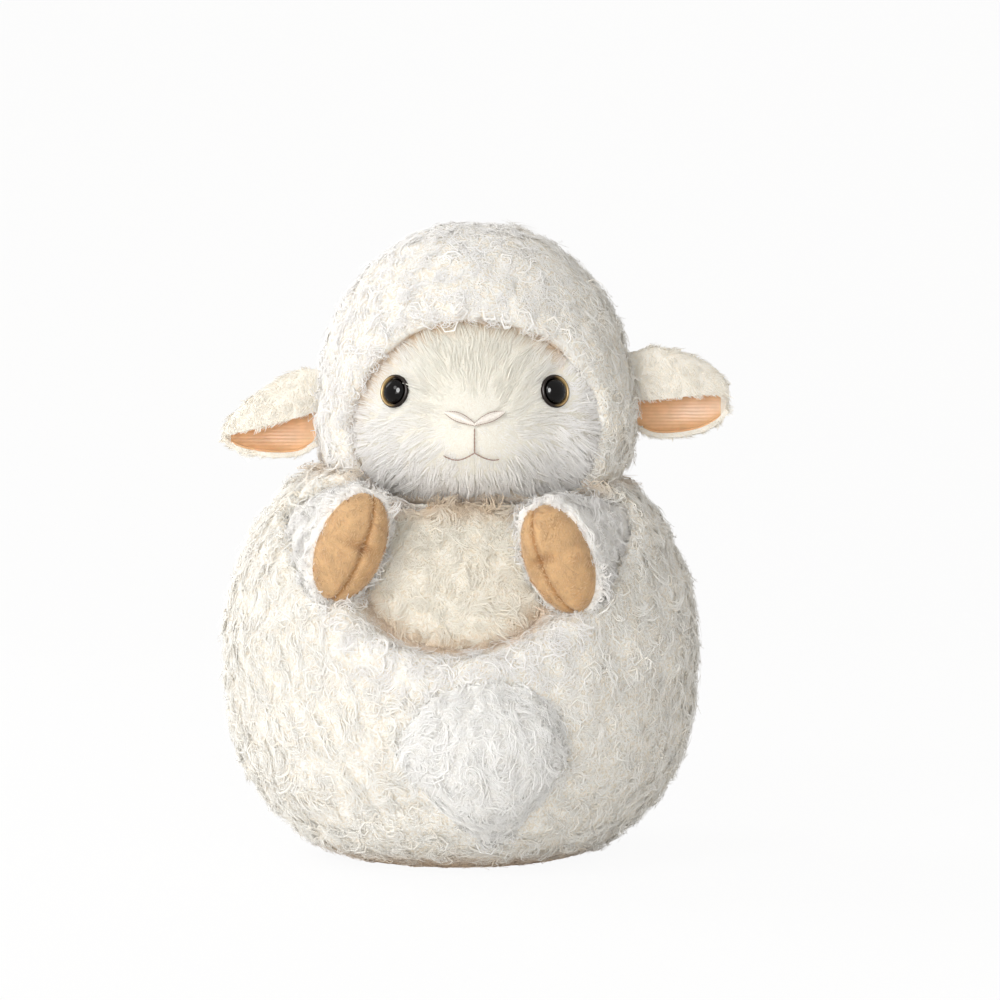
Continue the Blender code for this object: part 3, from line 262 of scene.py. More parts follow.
def satin_material(name, colour):
    """Satin-faced polyester lining: fine crosswise threads and a soft sheen, with lighter and darker patches that are
    painted light and shade of small creases.
    """
    material, add = new_material(name)
    place = add("ShaderNodeTexCoord", output="Object")
    # real threads are near 0.15 mm; drawn at 0.7 mm so that they show
    lines = {"Vector": place, "Scale": 1 / (0.7 * MM) / 6.283, "Distortion": 1.2, "Detail": 2.0}
    threads = add("ShaderNodeTexWave", lines, output=1, wave_type="BANDS", bands_direction="Z")
    painted_fold_light = add("ShaderNodeTexNoise", {"Vector": place, "Scale": 1 / (5 * MM), "Detail": 4.0})
    # painted light and shade of creases, which the lining's shape does not have
    shade = add("ShaderNodeMapRange", (painted_fold_light, 0.3, 0.7, 0.88, 1.06))
    tone = add("ShaderNodeMix", {0: 1.0, 6: tuple(colour), 7: shade}, **COLOUR_PRODUCT)
    bump = add("ShaderNodeBump", {"Height": threads, "Strength": 0.3, "Distance": 0.15 * MM})
    shader = add("ShaderNodeBsdfPrincipled", {
        "Base Color": tone, "Roughness": 0.48, "Sheen Weight": 0.4, "Sheen Roughness": 0.35, "Subsurface Weight": 0.1,
        "Subsurface Scale": 0.001, "Normal": bump,
    })
    return finish_material(material, shader)


def velour_material(name, colour):
    """Warp-knit velour: dense short nap that darkens in patches where it has been stroked the other way."""
    material, add = new_material(name)
    place = add("ShaderNodeTexCoord", output="Object")
    stroked = add("ShaderNodeTexNoise", {"Vector": place, "Scale": 1 / (7 * MM), "Detail": 5.0, "Roughness": 0.65})
    shade = add("ShaderNodeMapRange", (stroked, 0.32, 0.68, 0.78, 1.12))
    nap = add("ShaderNodeTexNoise", {"Vector": place, "Scale": 1 / (0.5 * MM)})
    groove = add("ShaderNodeAttribute", output="Fac", attribute_name="groove")
    # darker along the seam, and in the dimple as painted shade
    seam_and_painted_dimple_shade = add("ShaderNodeMix", {0: groove, 6: tuple(colour), 7: linear("#A9783F")}, **COLOUR_MIX)
    tone = add("ShaderNodeMix", {0: 1.0, 6: seam_and_painted_dimple_shade, 7: shade}, **COLOUR_PRODUCT)
    bump = add("ShaderNodeBump", {"Height": nap, "Strength": 0.5, "Distance": 0.3 * MM})
    shader = add("ShaderNodeBsdfPrincipled", {
        "Base Color": tone, "Roughness": 0.9, "Sheen Weight": 0.6, "Sheen Roughness": 0.4,
        "Sheen Tint": (1.0, 0.9, 0.75, 1.0), "Normal": bump,
    })
    return finish_material(material, shader)


def thread_material(name, colour):
    """Rayon embroidery thread: a silky twist with a soft highlight along each stitch."""
    material, add = new_material(name)
    place = add("ShaderNodeTexCoord", output="Object")
    twist = add("ShaderNodeTexNoise", {"Vector": place, "Scale": 1 / (0.6 * MM), "Detail": 2.0})
    shade = add("ShaderNodeMapRange", (twist, 0.3, 0.7, 0.86, 1.08))
    tone = add("ShaderNodeMix", {0: 1.0, 6: tuple(colour), 7: shade}, **COLOUR_PRODUCT)
    shader = add("ShaderNodeBsdfPrincipled", {
        "Base Color": tone, "Roughness": 0.42, "Sheen Weight": 0.3,
    })
    return finish_material(material, shader)


def plastic_material(name, colour, roughness, gloss=0.3):
    """Moulded acrylic or nylon: polished or satin by its roughness, with the mould's faint flow in it."""
    material, add = new_material(name)
    place = add("ShaderNodeTexCoord", output="Object")
    flow = add("ShaderNodeTexNoise", {"Vector": place, "Scale": 1 / (3 * MM), "Detail": 2.0})
    polish = add("ShaderNodeMapRange", (flow, 0.3, 0.7, roughness * 0.9, roughness * 1.15))
    shader = add("ShaderNodeBsdfPrincipled", {
        "Base Color": tuple(colour), "Roughness": polish, "Specular IOR Level": gloss,
    })
    return finish_material(material, shader)


# Pile grown by Geometry Nodes

PILE_INPUTS = (
    ("Lock spacing", "NodeSocketFloat", 0.006),
    ("Strand density", "NodeSocketFloat", 350000.0),
    ("Length", "NodeSocketFloat", 0.010),
    ("Thickness", "NodeSocketFloat", 0.001),
    ("Rise", "NodeSocketFloat", 0.6),
    ("Lean", "NodeSocketFloat", 0.4),
    ("Curl radius", "NodeSocketFloat", 0.0016),
    ("Turns", "NodeSocketFloat", 0.9),
    ("Gather", "NodeSocketFloat", 0.4),
    ("Mess", "NodeSocketFloat", 1.0),
    ("Sink", "NodeSocketFloat", 0.0012),
    ("Points", "NodeSocketInt", 6),
    ("Seed", "NodeSocketInt", 1),
    ("Cloth", "NodeSocketMaterial", None),
    ("Pile", "NodeSocketMaterial", None),
)
# The named values that the tree reads or keeps, by kind
PILE_FIELDS = {
    **dict.fromkeys(("comb", "lock_out", "lock_lay", "up", "flat", "toward", "root"), "FLOAT_VECTOR"),
    **dict.fromkeys(("grows", "pile", "pile_length", "curly", "lock_turn", "lock_phase", "lock_size"), "FLOAT"),
    **dict.fromkeys(("lock_tint", "phase", "turn", "reach", "bound", "girth", "tint"), "FLOAT"),
    "strand": "BOOLEAN",
}
LOCK_VALUES = ("lock_out", "lock_lay", "lock_turn", "lock_phase", "lock_size", "lock_tint")
STRAND_VALUES = ("up", "flat", "toward", "root", "phase", "turn", "reach", "bound", "girth", "curly", "tint")
# What chance decides: the lowest and the highest value, and a number added to the seed
PILE_CHANCES = {
    "any side": (-1.0, 1.0, 11),
    "any turns": (0.55, 1.25, 12),
    "lock_phase": (0.0, 2 * math.pi, 13),
    "lock_size": (0.72, 1.25, 14),
    "lock_tint": (0.0, 1.0, 15),
    "any phase": (-0.55, 0.55, 21),
    "any turn": (0.8, 1.2, 22),
    "any length": (0.78, 1.18, 23),
    "any strand": (0.0, 1.0, 24),
    "any girth": (0.3, 0.6, 25),
    "any tint": (0.0, 0.4, 26),
}
LOCK_ROWS = (
    ("stray", VECTOR, "SCALE", "any way", "Mess"),
    ("wish", VECTOR, "ADD", "comb", "stray"),
    ("across", VECTOR, "CROSS_PRODUCT", "wish", "lock_out"),
    ("lock_lay", VECTOR, "CROSS_PRODUCT", "lock_out", "across"),
    ("lock_lay", VECTOR, "NORMALIZE", "lock_lay"),
    ("side", MATHS, "SIGN", "any side"),
    ("turns", MATHS, "MULTIPLY", "Turns", "any turns"),
    ("turns", MATHS, "MULTIPLY", "side", "turns"),
    ("lock_turn", MATHS, "MULTIPLY", "turns", 2 * math.pi),
    ("density", MATHS, "MULTIPLY", "pile", "grows"),
    ("density", MATHS, "MULTIPLY", "Strand density", "density"),
)
STRAND_ROWS = (
    ("up", VECTOR, "SCALE", "lock_out", 0.6),
    ("up", VECTOR, "ADD", "normal", "up"),
    ("up", VECTOR, "NORMALIZE", "up"),
    ("flat", VECTOR, "CROSS_PRODUCT", "lock_lay", "up"),
    ("flat", VECTOR, "CROSS_PRODUCT", "up", "flat"),
    ("flat", VECTOR, "NORMALIZE", "flat"),
    ("toward", VECTOR, "SUBTRACT", "lock_place", "root"),
    ("phase", MATHS, "ADD", "lock_phase", "any phase"),
    ("turn", MATHS, "MULTIPLY", "lock_turn", "any turn"),
    # about one strand in twelve stands loose of its lock
    ("loose", MATHS, "GREATER_THAN", "any strand", 0.92),
    ("reach", MATHS, "MULTIPLY", "any length", "pile_length"),
    ("reach", MATHS, "MULTIPLY", "lock_size", "reach"),
    ("longer", MATHS, "MULTIPLY", "loose", 0.3),
    ("longer", MATHS, "ADD", "longer", 0.85),
    ("reach", MATHS, "MULTIPLY", "reach", "longer"),
    ("reach", MATHS, "MULTIPLY", "reach", "Length"),
    ("freed", MATHS, "MULTIPLY", "loose", 1.2),
    ("freed", MATHS, "SUBTRACT", 1.0, "freed"),
    ("bound", MATHS, "MULTIPLY", "Gather", "freed"),
    # where the strands are fewer they are thicker
    ("fuller", MATHS, "MULTIPLY", "pile", 0.6),
    ("fuller", MATHS, "SUBTRACT", 1.6, "fuller"),
    ("girth", MATHS, "MULTIPLY", "Thickness", "fuller"),
    ("girth", MATHS, "MULTIPLY", "girth", "any girth"),
    ("thicker", MATHS, "MULTIPLY", "loose", 0.45),
    ("thicker", MATHS, "ADD", "thicker", 1.0),
    ("girth", MATHS, "MULTIPLY", "girth", "thicker"),
    ("curlier", MATHS, "MULTIPLY", "loose", 0.5),
    ("curlier", MATHS, "ADD", "curlier", 1.0),
    ("curly", MATHS, "MULTIPLY", "curly", "curlier"),
    ("tint", MATHS, "MULTIPLY", "lock_tint", 0.6),
    ("tint", MATHS, "ADD", "tint", "any tint"),
    ("tint", MATHS, "MAXIMUM", "tint", "loose"),
)
PLACE_ROWS = (
    ("share squared", MATHS, "MULTIPLY", "share", "share"),
    ("lift", MATHS, "MULTIPLY", "share squared", 0.35),
    ("lift", MATHS, "SUBTRACT", "share", "lift"),
    ("lift", MATHS, "MULTIPLY", "Rise", "lift"),
    ("lift", MATHS, "MULTIPLY", "lift", "reach"),
    ("lift", MATHS, "SUBTRACT", "lift", "Sink"),
    ("lean", MATHS, "MULTIPLY", "share squared", "Lean"),
    ("lean", MATHS, "MULTIPLY", "lean", "reach"),
    ("angle", MATHS, "MULTIPLY", "turn", "share"),
    ("angle", MATHS, "ADD", "phase", "angle"),
    ("curl", MATHS, "MULTIPLY", "Curl radius", "curly"),
    ("start", MATHS, "COSINE", "phase"),
    ("onward", MATHS, "COSINE", "angle"),
    ("onward", MATHS, "SUBTRACT", "onward", "start"),
    ("onward", MATHS, "MULTIPLY", "curl", "onward"),
    ("onward", MATHS, "ADD", "lean", "onward"),
    ("start", MATHS, "SINE", "phase"),
    ("sideways", MATHS, "SINE", "angle"),
    ("sideways", MATHS, "SUBTRACT", "sideways", "start"),
    ("sideways", MATHS, "MULTIPLY", "curl", "sideways"),
    ("gathered", MATHS, "MULTIPLY", "bound", "share"),
    ("side", VECTOR, "CROSS_PRODUCT", "up", "flat"),
    ("lift", VECTOR, "SCALE", "up", "lift"),
    ("onward", VECTOR, "SCALE", "flat", "onward"),
    ("sideways", VECTOR, "SCALE", "side", "sideways"),
    ("gathered", VECTOR, "SCALE", "toward", "gathered"),
    ("place", VECTOR, "ADD", "root", "lift"),
    ("place", VECTOR, "ADD", "place", "onward"),
    ("place", VECTOR, "ADD", "place", "sideways"),
    ("place", VECTOR, "ADD", "place", "gathered"),
)
SHAPE_ROWS = (
    ("taper", MATHS, "MULTIPLY", "share squared", 0.72),
    ("taper", MATHS, "SUBTRACT", 1.0, "taper"),
    ("radius", MATHS, "MULTIPLY", "girth", "taper"),
    ("broad", VECTOR, "CROSS_PRODUCT", "up", "run"),
    ("broad", VECTOR, "CROSS_PRODUCT", "run", "broad"),
    ("broad", VECTOR, "NORMALIZE", "broad"),
)


def new_tree(name, inputs):
    """An empty Geometry Nodes tree with named inputs, the way to add a node to it, and its inputs by name."""
    tree = bpy.data.node_groups.new(name, "GeometryNodeTree")
    for label, kind, value in (("Geometry", "NodeSocketGeometry", None), *inputs):
        socket = tree.interface.new_socket(label, in_out="INPUT", socket_type=kind)
        if value is not None:
            socket.default_value = value
    tree.interface.new_socket("Geometry", in_out="OUTPUT", socket_type="NodeSocketGeometry")
    given = {socket.name: socket for socket in add_node(tree, "NodeGroupInput").outputs}
    return tree, functools.partial(add_node, tree, output=0), given


def pile_tree():
    """Locks of strands grown from a cloth. Each lock shares a direction and a curl, which its strands follow.

    The cloth's own attributes guide it: comb is the way the pile is brushed, pile thins it out,
    pile_length scales it, and grows is zero on faces that stay bare.
    """
    name = "Pile grown from a cloth"
    if name in bpy.data.node_groups:
        return bpy.data.node_groups[name]
    tree, add, given = new_tree(name, PILE_INPUTS)
    named = {
        label: add("GeometryNodeInputNamedAttribute", {"Name": label}, data_type=kind)
        for label, kind in PILE_FIELDS.items()
    }
    values = {**given, **named}
    for label, (low, high, offset) in PILE_CHANCES.items():
        seed = add(MATHS, (given["Seed"], float(offset)), operation="ADD")
        chance = {"Min": low, "Max": high, "Seed": seed}
        values[label] = add("FunctionNodeRandomValue", chance, output=1, data_type="FLOAT")
    every_way = {"Min": (-1.0, -1.0, -1.0), "Max": (1.0, 1.0, 1.0), "Seed": given["Seed"]}
    values["any way"] = add("FunctionNodeRandomValue", every_way, data_type="FLOAT_VECTOR")

    # locks: sparse points that hold a shared direction, curl and length
    spacing = {"Distance Min": given["Lock spacing"], "Density Max": 400000.0, "Density Factor": named["grows"]}
    locks = add(
        "GeometryNodeDistributePointsOnFaces", {"Mesh": given["Geometry"], **spacing, "Seed": given["Seed"]},
        output=None, distribute_method="POISSON",
    )
    values["lock_out"] = locks.outputs["Normal"]
    work_out(tree, values, LOCK_ROWS)
    lock_points = locks.outputs["Points"]
    for label in LOCK_VALUES:
        kept = {"Geometry": lock_points, "Name": label, "Value": values[label]}
        lock_points = add("GeometryNodeStoreNamedAttribute", kept, data_type=PILE_FIELDS[label], domain="POINT")

    # strands: dense points that look up their nearest lock
    roots = add(
        "GeometryNodeDistributePointsOnFaces",
        {"Mesh": given["Geometry"], "Density": values["density"], "Seed": given["Seed"]},
        output=None, distribute_method="RANDOM",
    )
    here = add("GeometryNodeInputPosition")
    nearest = add("GeometryNodeSampleNearest", {"Geometry": lock_points, "Sample Position": here}, domain="POINT")
    for label in (*LOCK_VALUES, "lock_place"):
        sample = {"Geometry": lock_points, "Value": named.get(label, here), "Index": nearest}
        kind = PILE_FIELDS.get(label, "FLOAT_VECTOR")
        values[label] = add("GeometryNodeSampleIndex", sample, data_type=kind, domain="POINT")
    values.update(normal=roots.outputs["Normal"], root=here)
    work_out(tree, values, STRAND_ROWS)
    points = roots.outputs["Points"]
    for label in STRAND_VALUES:
        kept = {"Geometry": points, "Name": label, "Value": values[label]}
        points = add("GeometryNodeStoreNamedAttribute", kept, data_type=PILE_FIELDS[label], domain="POINT")

    # one strand is a line whose points are laid out by its own and its lock's values
    line = add("GeometryNodeResampleCurve", {"Curve": add("GeometryNodeCurvePrimitiveLine"), "Count": given["Points"]})
    strands = add("GeometryNodeInstanceOnPoints", {"Points": points, "Instance": line})
    strands = add("GeometryNodeRealizeInstances", {"Geometry": strands})
    values.update(named, share=add("GeometryNodeSplineParameter", output="Factor"))
    work_out(tree, values, PLACE_ROWS)
    x, y, z = add("ShaderNodeSeparateXYZ", (values["place"],), output=None).outputs
    above_floor = add(MATHS, (z, 0.5 * MM), operation="MAXIMUM")
    place = add("ShaderNodeCombineXYZ", (x, y, above_floor))
    strands = add("GeometryNodeSetPosition", {"Geometry": strands, "Position": place})
    values["run"] = add("GeometryNodeInputTangent")
    work_out(tree, values, SHAPE_ROWS)
    strands = add("GeometryNodeSetCurveRadius", {"Curve": strands, "Radius": values["radius"]})
    kept = {"Geometry": strands, "Name": "along", "Value": values["share"]}
    strands = add("GeometryNodeStoreNamedAttribute", kept, data_type="FLOAT", domain="POINT")
    strands = add("GeometryNodeSetCurveNormal", {"Curve": strands, "Normal": values["broad"]}, mode="FREE")
    profile = add("GeometryNodeCurvePrimitiveCircle", {"Resolution": 3, "Radius": 1.0})
    profile = add("GeometryNodeTransform", {"Geometry": profile, "Scale": (0.3, 1.15, 1.0)})
    swept = {"Curve": strands, "Profile Curve": profile, "Fill Caps": True}
    tubes = add("GeometryNodeCurveToMesh", swept, output=None)
    if "Scale" in tubes.inputs:
        tree.links.new(add("GeometryNodeInputRadius"), tubes.inputs["Scale"])
    kept = {"Geometry": tubes.outputs[0], "Name": "strand", "Value": True}
    tubes = add("GeometryNodeStoreNamedAttribute", kept, data_type="BOOLEAN", domain="FACE")
    tubes = add("GeometryNodeSetShadeSmooth", {"Geometry": tubes, "Shade Smooth": False})
    cloth = add("GeometryNodeSetMaterial", {"Geometry": given["Geometry"], "Material": given["Cloth"]})
    both = add("GeometryNodeJoinGeometry", output=None)
    for part in (tubes, cloth):
        tree.links.new(part, both.inputs[0])
    real = add("GeometryNodeRealizeInstances", {"Geometry": both.outputs[0]})
    painted = {"Geometry": real, "Selection": named["strand"], "Material": given["Pile"]}
    add("NodeGroupOutput", (add("GeometryNodeSetMaterial", painted),), output=None)
    return tree


def evaluated_mesh(piece):
    """The piece's mesh with its modifiers applied, which are then removed."""
    graph = bpy.context.evaluated_depsgraph_get()
    mesh = bpy.data.meshes.new_from_object(piece.evaluated_get(graph), depsgraph=graph)
    piece.modifiers.clear()
    return mesh


def run_tree(piece, tree, values):
    """Run a Geometry Nodes tree on a piece with the given inputs, and keep the result as its plain mesh."""
    modifier = piece.modifiers.new(tree.name, "NODES")
    modifier.node_group = tree
    sockets = {item.name: item.identifier for item in tree.interface.items_tree if item.in_out == "INPUT"}
    for label, value in values.items():
        modifier[sockets[label]] = value
    old, piece.data = piece.data, evaluated_mesh(piece)
    bpy.data.meshes.remove(old)


def grow_pile(piece, cloth, pile, **values):
    """Grow pile on a piece, with the tree's inputs given by name."""
    labels = {key.replace("_", " ").capitalize(): value for key, value in values.items()}
    labels.setdefault("Seed", sizes().seed)
    if "curly" not in piece.data.attributes:
        set_numbers(piece.data, "curly", np.ones(len(piece.data.vertices)))
    run_tree(piece, pile_tree(), {**labels, "Cloth": cloth, "Pile": pile})
    tidy_mesh(piece.data)


SPENT_ATTRIBUTES = (
    "comb", "pile", "pile_length", "grows", "up", "flat", "toward", "root", "phase", "turn", "reach", "bound", "girth",
    "strand", "id", "curly",
)


def tidy_mesh(mesh):
    """Drop the empty material slots and the values that only guided the growth."""
    for name in [attribute.name for attribute in mesh.attributes]:
        if name in SPENT_ATTRIBUTES:
            mesh.attributes.remove(mesh.attributes[name])
    used = [k for k, material in enumerate(mesh.materials) if material is not None]
    index = np.zeros(len(mesh.polygons), np.int32)
    mesh.polygons.foreach_get("material_index", index)
    lookup = np.zeros(len(mesh.materials) + 1, np.int32)
    for new, old in enumerate(used):
        lookup[old] = new
    materials = [mesh.materials[k] for k in used]
    mesh.materials.clear()
    for material in materials:
        mesh.materials.append(material)
    mesh.polygons.foreach_set("material_index", lookup[index])
    mesh.update()


# Meshes


def new_piece(name, mesh, material=None):
    piece = bpy.data.objects.new(name, mesh)
    bpy.context.scene.collection.objects.link(piece)
    if material is not None:
        mesh.materials.append(material)
    return piece


def remove_piece(piece):
    mesh = piece.data
    bpy.data.objects.remove(piece)
    bpy.data.meshes.remove(mesh)


def mesh_from(name, points, faces):
    mesh = bpy.data.meshes.new(name)
    mesh.from_pydata([tuple(p) for p in points], [], faces)
    mesh.shade_smooth()
    mesh.update()
    return mesh


def face_outwards(mesh):
    """Turn the faces of a closed mesh outwards."""
    shape = bmesh.new()
    shape.from_mesh(mesh)
    bmesh.ops.recalc_face_normals(shape, faces=shape.faces)
    shape.to_mesh(mesh)
    shape.free()


def rows_of(collection, field):
    values = np.empty(len(collection) * 3, np.float32)
    collection.foreach_get(field, values)
    return values.reshape(-1, 3)


def places(mesh):
    return rows_of(mesh.vertices, "co")


def normals(mesh):
    return rows_of(mesh.vertex_normals, "vector")


def move_to(mesh, values):
    mesh.vertices.foreach_set("co", np.asarray(values, np.float32).ravel())
    mesh.update()


def set_numbers(mesh, name, values, domain="POINT"):
    attribute = mesh.attributes.new(name, "FLOAT", domain)
    attribute.data.foreach_set("value", np.asarray(values, np.float32))


def set_vectors(mesh, name, values):
    attribute = mesh.attributes.new(name, "FLOAT_VECTOR", "POINT")
    attribute.data.foreach_set("vector", np.asarray(values, np.float32).ravel())


def guide(mesh, comb, **numbers):
    """Give a cloth the way its pile is combed, and the numbers that thin out, scale or tint the pile."""
    count = len(mesh.vertices)
    set_vectors(mesh, "comb", np.zeros((count, 3)) + comb)
    for name, values in numbers.items():
        set_numbers(mesh, name, np.zeros(count) + values)
    if "grows" not in mesh.attributes:
        set_numbers(mesh, "grows", np.ones(len(mesh.polygons)), "FACE")


def lumps(points, size, seed):
    """Smooth noise between -1 and 1 at the given size, one value for each point."""
    shift = Vector((seed, seed * 0.37, -seed * 0.61))
    return np.array([noise.noise(Vector(p) / size + shift) for p in points])


def unit_rows(rows):
    return rows / np.maximum(np.linalg.norm(rows, axis=1, keepdims=True), 1e-9)


def bell(values, width):
    """One where the values are zero, falling away smoothly over a width in millimetres."""
    return np.exp(-((values / (width * MM)) ** 2))


def ramp(values, start, length):
    """Zero up to a start, and one from a length beyond it, both in millimetres."""
    return np.clip((values - start * MM) / (length * MM), 0, 1)


def fall(values, start, length):
    """Zero from a start upwards, and one from a length below it, both in millimetres."""
    return np.clip((start * MM - values) / (length * MM), 0, 1)


def merged_nodes(name, nodes):
    """The CAD nodes' solids as one mesh, each with its own triangles joined up."""
    shape = bmesh.new()
    for node in nodes:
        shape.from_mesh(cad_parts[node].data)
    bmesh.ops.remove_doubles(shape, verts=shape.verts, dist=1e-6)
    mesh = bpy.data.meshes.new(name)
    shape.to_mesh(mesh)
    shape.free()
    return mesh


def soft_mass(name, nodes, voxel, smoothing):
    """One closed rounded form round several CAD solids."""
    piece = new_piece(name, merged_nodes(name, nodes))
    remesh = piece.modifiers.new("remesh", "REMESH")
    remesh.mode = "VOXEL"
    remesh.voxel_size = voxel
    smooth = piece.modifiers.new("smooth", "SMOOTH")
    smooth.iterations = smoothing
    mesh = evaluated_mesh(piece)
    mesh.materials.clear()
    remove_piece(piece)
    keep_largest(mesh)
    mesh.shade_smooth()
    return mesh


def keep_largest(mesh):
    """Drop the small closed bubbles that remeshing leaves in the gaps between solids."""
    shape = bmesh.new()
    shape.from_mesh(mesh)
    left = set(shape.verts)
    islands = []
    while left:
        stack = [left.pop()]
        island = list(stack)
        while stack:
            for edge in stack.pop().link_edges:
                for vertex in edge.verts:
                    if vertex in left:
                        left.remove(vertex)
                        stack.append(vertex)
                        island.append(vertex)
        islands.append(island)
    islands.sort(key=len)
    bmesh.ops.delete(shape, geom=[v for island in islands[:-1] for v in island], context="VERTS")
    shape.to_mesh(mesh)
    shape.free()


def cut_away(mesh, *planes):
    """A copy of a closed mesh with what lies beyond each (place, outward) plane cut off and capped bare."""
    shape = bmesh.new()
    shape.from_mesh(mesh)
    layer = shape.faces.layers.float.get("grows")
    for place, outward in planes:
        geometry = shape.verts[:] + shape.edges[:] + shape.faces[:]
        bmesh.ops.bisect_plane(shape, geom=geometry, plane_co=place, plane_no=outward, clear_outer=True)
        rim = [edge for edge in shape.edges if edge.is_boundary]
        made = bmesh.ops.triangle_fill(shape, edges=rim, use_beauty=True, normal=outward)
        for face in (f for f in made["geom"] if isinstance(f, bmesh.types.BMFace)):
            face[layer] = 0.0
            face.smooth = False
    bmesh.ops.recalc_face_normals(shape, faces=shape.faces)
    result = bpy.data.meshes.new(mesh.name)
    shape.to_mesh(result)
    shape.free()
    return result


def distance_to(nodes, points):
    """How far each point lies from the nearest surface of the CAD nodes."""
    mesh = merged_nodes("measure", nodes)
    tree = BVHTree.FromPolygons([v.co for v in mesh.vertices], [tuple(p.vertices) for p in mesh.polygons])
    bpy.data.meshes.remove(mesh)
    return np.array([tree.find_nearest(Vector(p))[3] for p in points])


def grid_pad(name, outer, thickness, columns, rows, rim=False):
    """A closed pad whose outer face is a grid of outer(u, v) and whose inner face is drawn in along the normals."""
    front = np.array([[outer(c / columns, r / rows) for c in range(columns + 1)] for r in range(rows + 1)])
    across = np.gradient(front, axis=1)
    up = np.gradient(front, axis=0)
    outward = np.cross(across, up)
    outward /= np.maximum(np.linalg.norm(outward, axis=2, keepdims=True), 1e-12)
    back = front - outward * thickness
    count = (rows + 1) * (columns + 1)
    points = np.concatenate((front.reshape(-1, 3), back.reshape(-1, 3)))
    faces = []
    for r in range(rows):
        for c in range(columns):
            a = r * (columns + 1) + c
            b, d, e = a + 1, a + columns + 1, a + columns + 2
            faces.append((a, b, e, d))
            faces.append((a + count, d + count, e + count, b + count))
    edge = list(range(columns + 1))
    edge += [r * (columns + 1) + columns for r in range(1, rows + 1)]
    edge += [rows * (columns + 1) + c for c in range(columns - 1, -1, -1)]
    edge += [r * (columns + 1) for r in range(rows - 1, 0, -1)]
    for k, a in enumerate(edge):
        b = edge[(k + 1) % len(edge)]
        faces.append((b, a, a + count, b + count))
    mesh = mesh_from(name, points, faces)
    shape = bmesh.new()
    shape.from_mesh(mesh)
    bmesh.ops.remove_doubles(shape, verts=shape.verts, dist=1e-6)
    bmesh.ops.recalc_face_normals(shape, faces=shape.faces)
    for border in shape.edges:
        border.smooth = border.calc_face_angle(0.0) < math.radians(50)
    shape.to_mesh(mesh)
    shape.free()
    pad = 2 * rows * columns
    grows = [float(p.index % 2 == 0) if p.index < pad else float(rim) for p in mesh.polygons]
    set_numbers(mesh, "grows", grows, "FACE")
    return mesh


def turned(name, matrix, profile, segments):
    """A turned closed form from (radius, height) pairs, with both ends on the axis."""
    points, starts = [], []
    for radius, height in profile:
        starts.append(len(points))
        count = segments if radius > 0 else 1
        for k in range(count):
            a = 2 * math.pi * k / segments
            points.append(matrix @ Vector((radius * math.cos(a), radius * math.sin(a), height)))
    faces = []
    for k in range(len(profile) - 1):
        low, high = starts[k], starts[k + 1]
        for i in range(segments):
            j = (i + 1) % segments
            if profile[k][0] <= 0:
                faces.append((low, high + j, high + i))
            elif profile[k + 1][0] <= 0:
                faces.append((low + i, low + j, high))
            else:
                faces.append((low + i, low + j, high + j, high + i))
    return mesh_from(name, points, faces)


def head_radius(height, inset=0.0):
    """The head's radius at a height: one superellipse above its widest place, and another below."""
    above = height > HEAD_WIDEST_HEIGHT
    reach, roundness = (HEAD_RISE, HEAD_UPPER_ROUNDNESS) if above else (HEAD_DROP, HEAD_LOWER_ROUNDNESS)
    share = abs(height - HEAD_WIDEST_HEIGHT) / (reach - inset)
    return (HEAD_RADIUS - inset) * max(0.0, 1 - share**roundness) ** (1 / roundness)


def face_point(azimuth, height, outset=0.0):
    """A point of the face at an angle about the neck axis, with the muzzle's swell."""
    radius = head_radius(height, FACE_INSET) + outset
    x = NECK.x + radius * math.cos(azimuth)
    across = (x - NECK.x) / MUZZLE_HALF_WIDTH
    up = (height - MUZZLE_HEIGHT) / MUZZLE_HALF_HEIGHT
    swell = MUZZLE_OUT * math.exp(-(across**2) - up**2)
    return Vector((x, NECK.y + (radius + swell) * math.sin(azimuth), height))


def face_heights(top):
    """Heights from under the chin to the given top, evenly spaced along the face's profile."""
    angles = np.linspace(math.radians(-76), math.radians(60), 400)
    heights, radii = [], []
    for angle in angles:
        if angle < 0:
            rise = -(HEAD_DROP - FACE_INSET) * math.sin(-angle) ** (2 / HEAD_LOWER_ROUNDNESS)
        else:
            rise = (HEAD_RISE - FACE_INSET) * math.sin(angle) ** (2 / HEAD_UPPER_ROUNDNESS)
        heights.append(HEAD_WIDEST_HEIGHT + rise)
        radii.append(head_radius(heights[-1], FACE_INSET))
    travelled = np.concatenate(([0], np.cumsum(np.hypot(np.diff(heights), np.diff(radii)))))
    end = np.interp(top, heights, travelled)
    return np.interp(np.linspace(0, end, 80), travelled, heights)


def gusset_half_width(height):
    for (low, narrow), (high, wide) in zip(GUSSET_OUTLINE, GUSSET_OUTLINE[1:]):
        if height <= high:
            share = max(0.0, (height - low) / (high - low))
            return narrow + (wide - narrow) * share
    return GUSSET_OUTLINE[-1][1]


def face_azimuth(across, height):
    """The angle about the neck axis where the face lies a distance across from its middle."""
    return -math.acos(max(-1.0, min(1.0, across / head_radius(height, FACE_INSET))))


def face_place(azimuth, height, outset):
    """A point that stands off the face, and the direction out of the face there."""
    step = 0.5 * MM
    turn = step / head_radius(height, FACE_INSET)
    across = face_point(azimuth + turn, height) - face_point(azimuth - turn, height)
    up = face_point(azimuth, height + step) - face_point(azimuth, height - step)
    outward = across.cross(up).normalized()
    return face_point(azimuth, height) + outward * outset, outward


def eye_frame(side):
    """Where an eye sits, with its local Z pointing out of the face."""
    place, outward = face_place(face_azimuth(side * EYE_SPREAD, EYE_HEIGHT), EYE_HEIGHT, EYE_STANDOFF)
    return Matrix.Translation(place) @ outward.to_track_quat("Z", "Y").to_matrix().to_4x4()


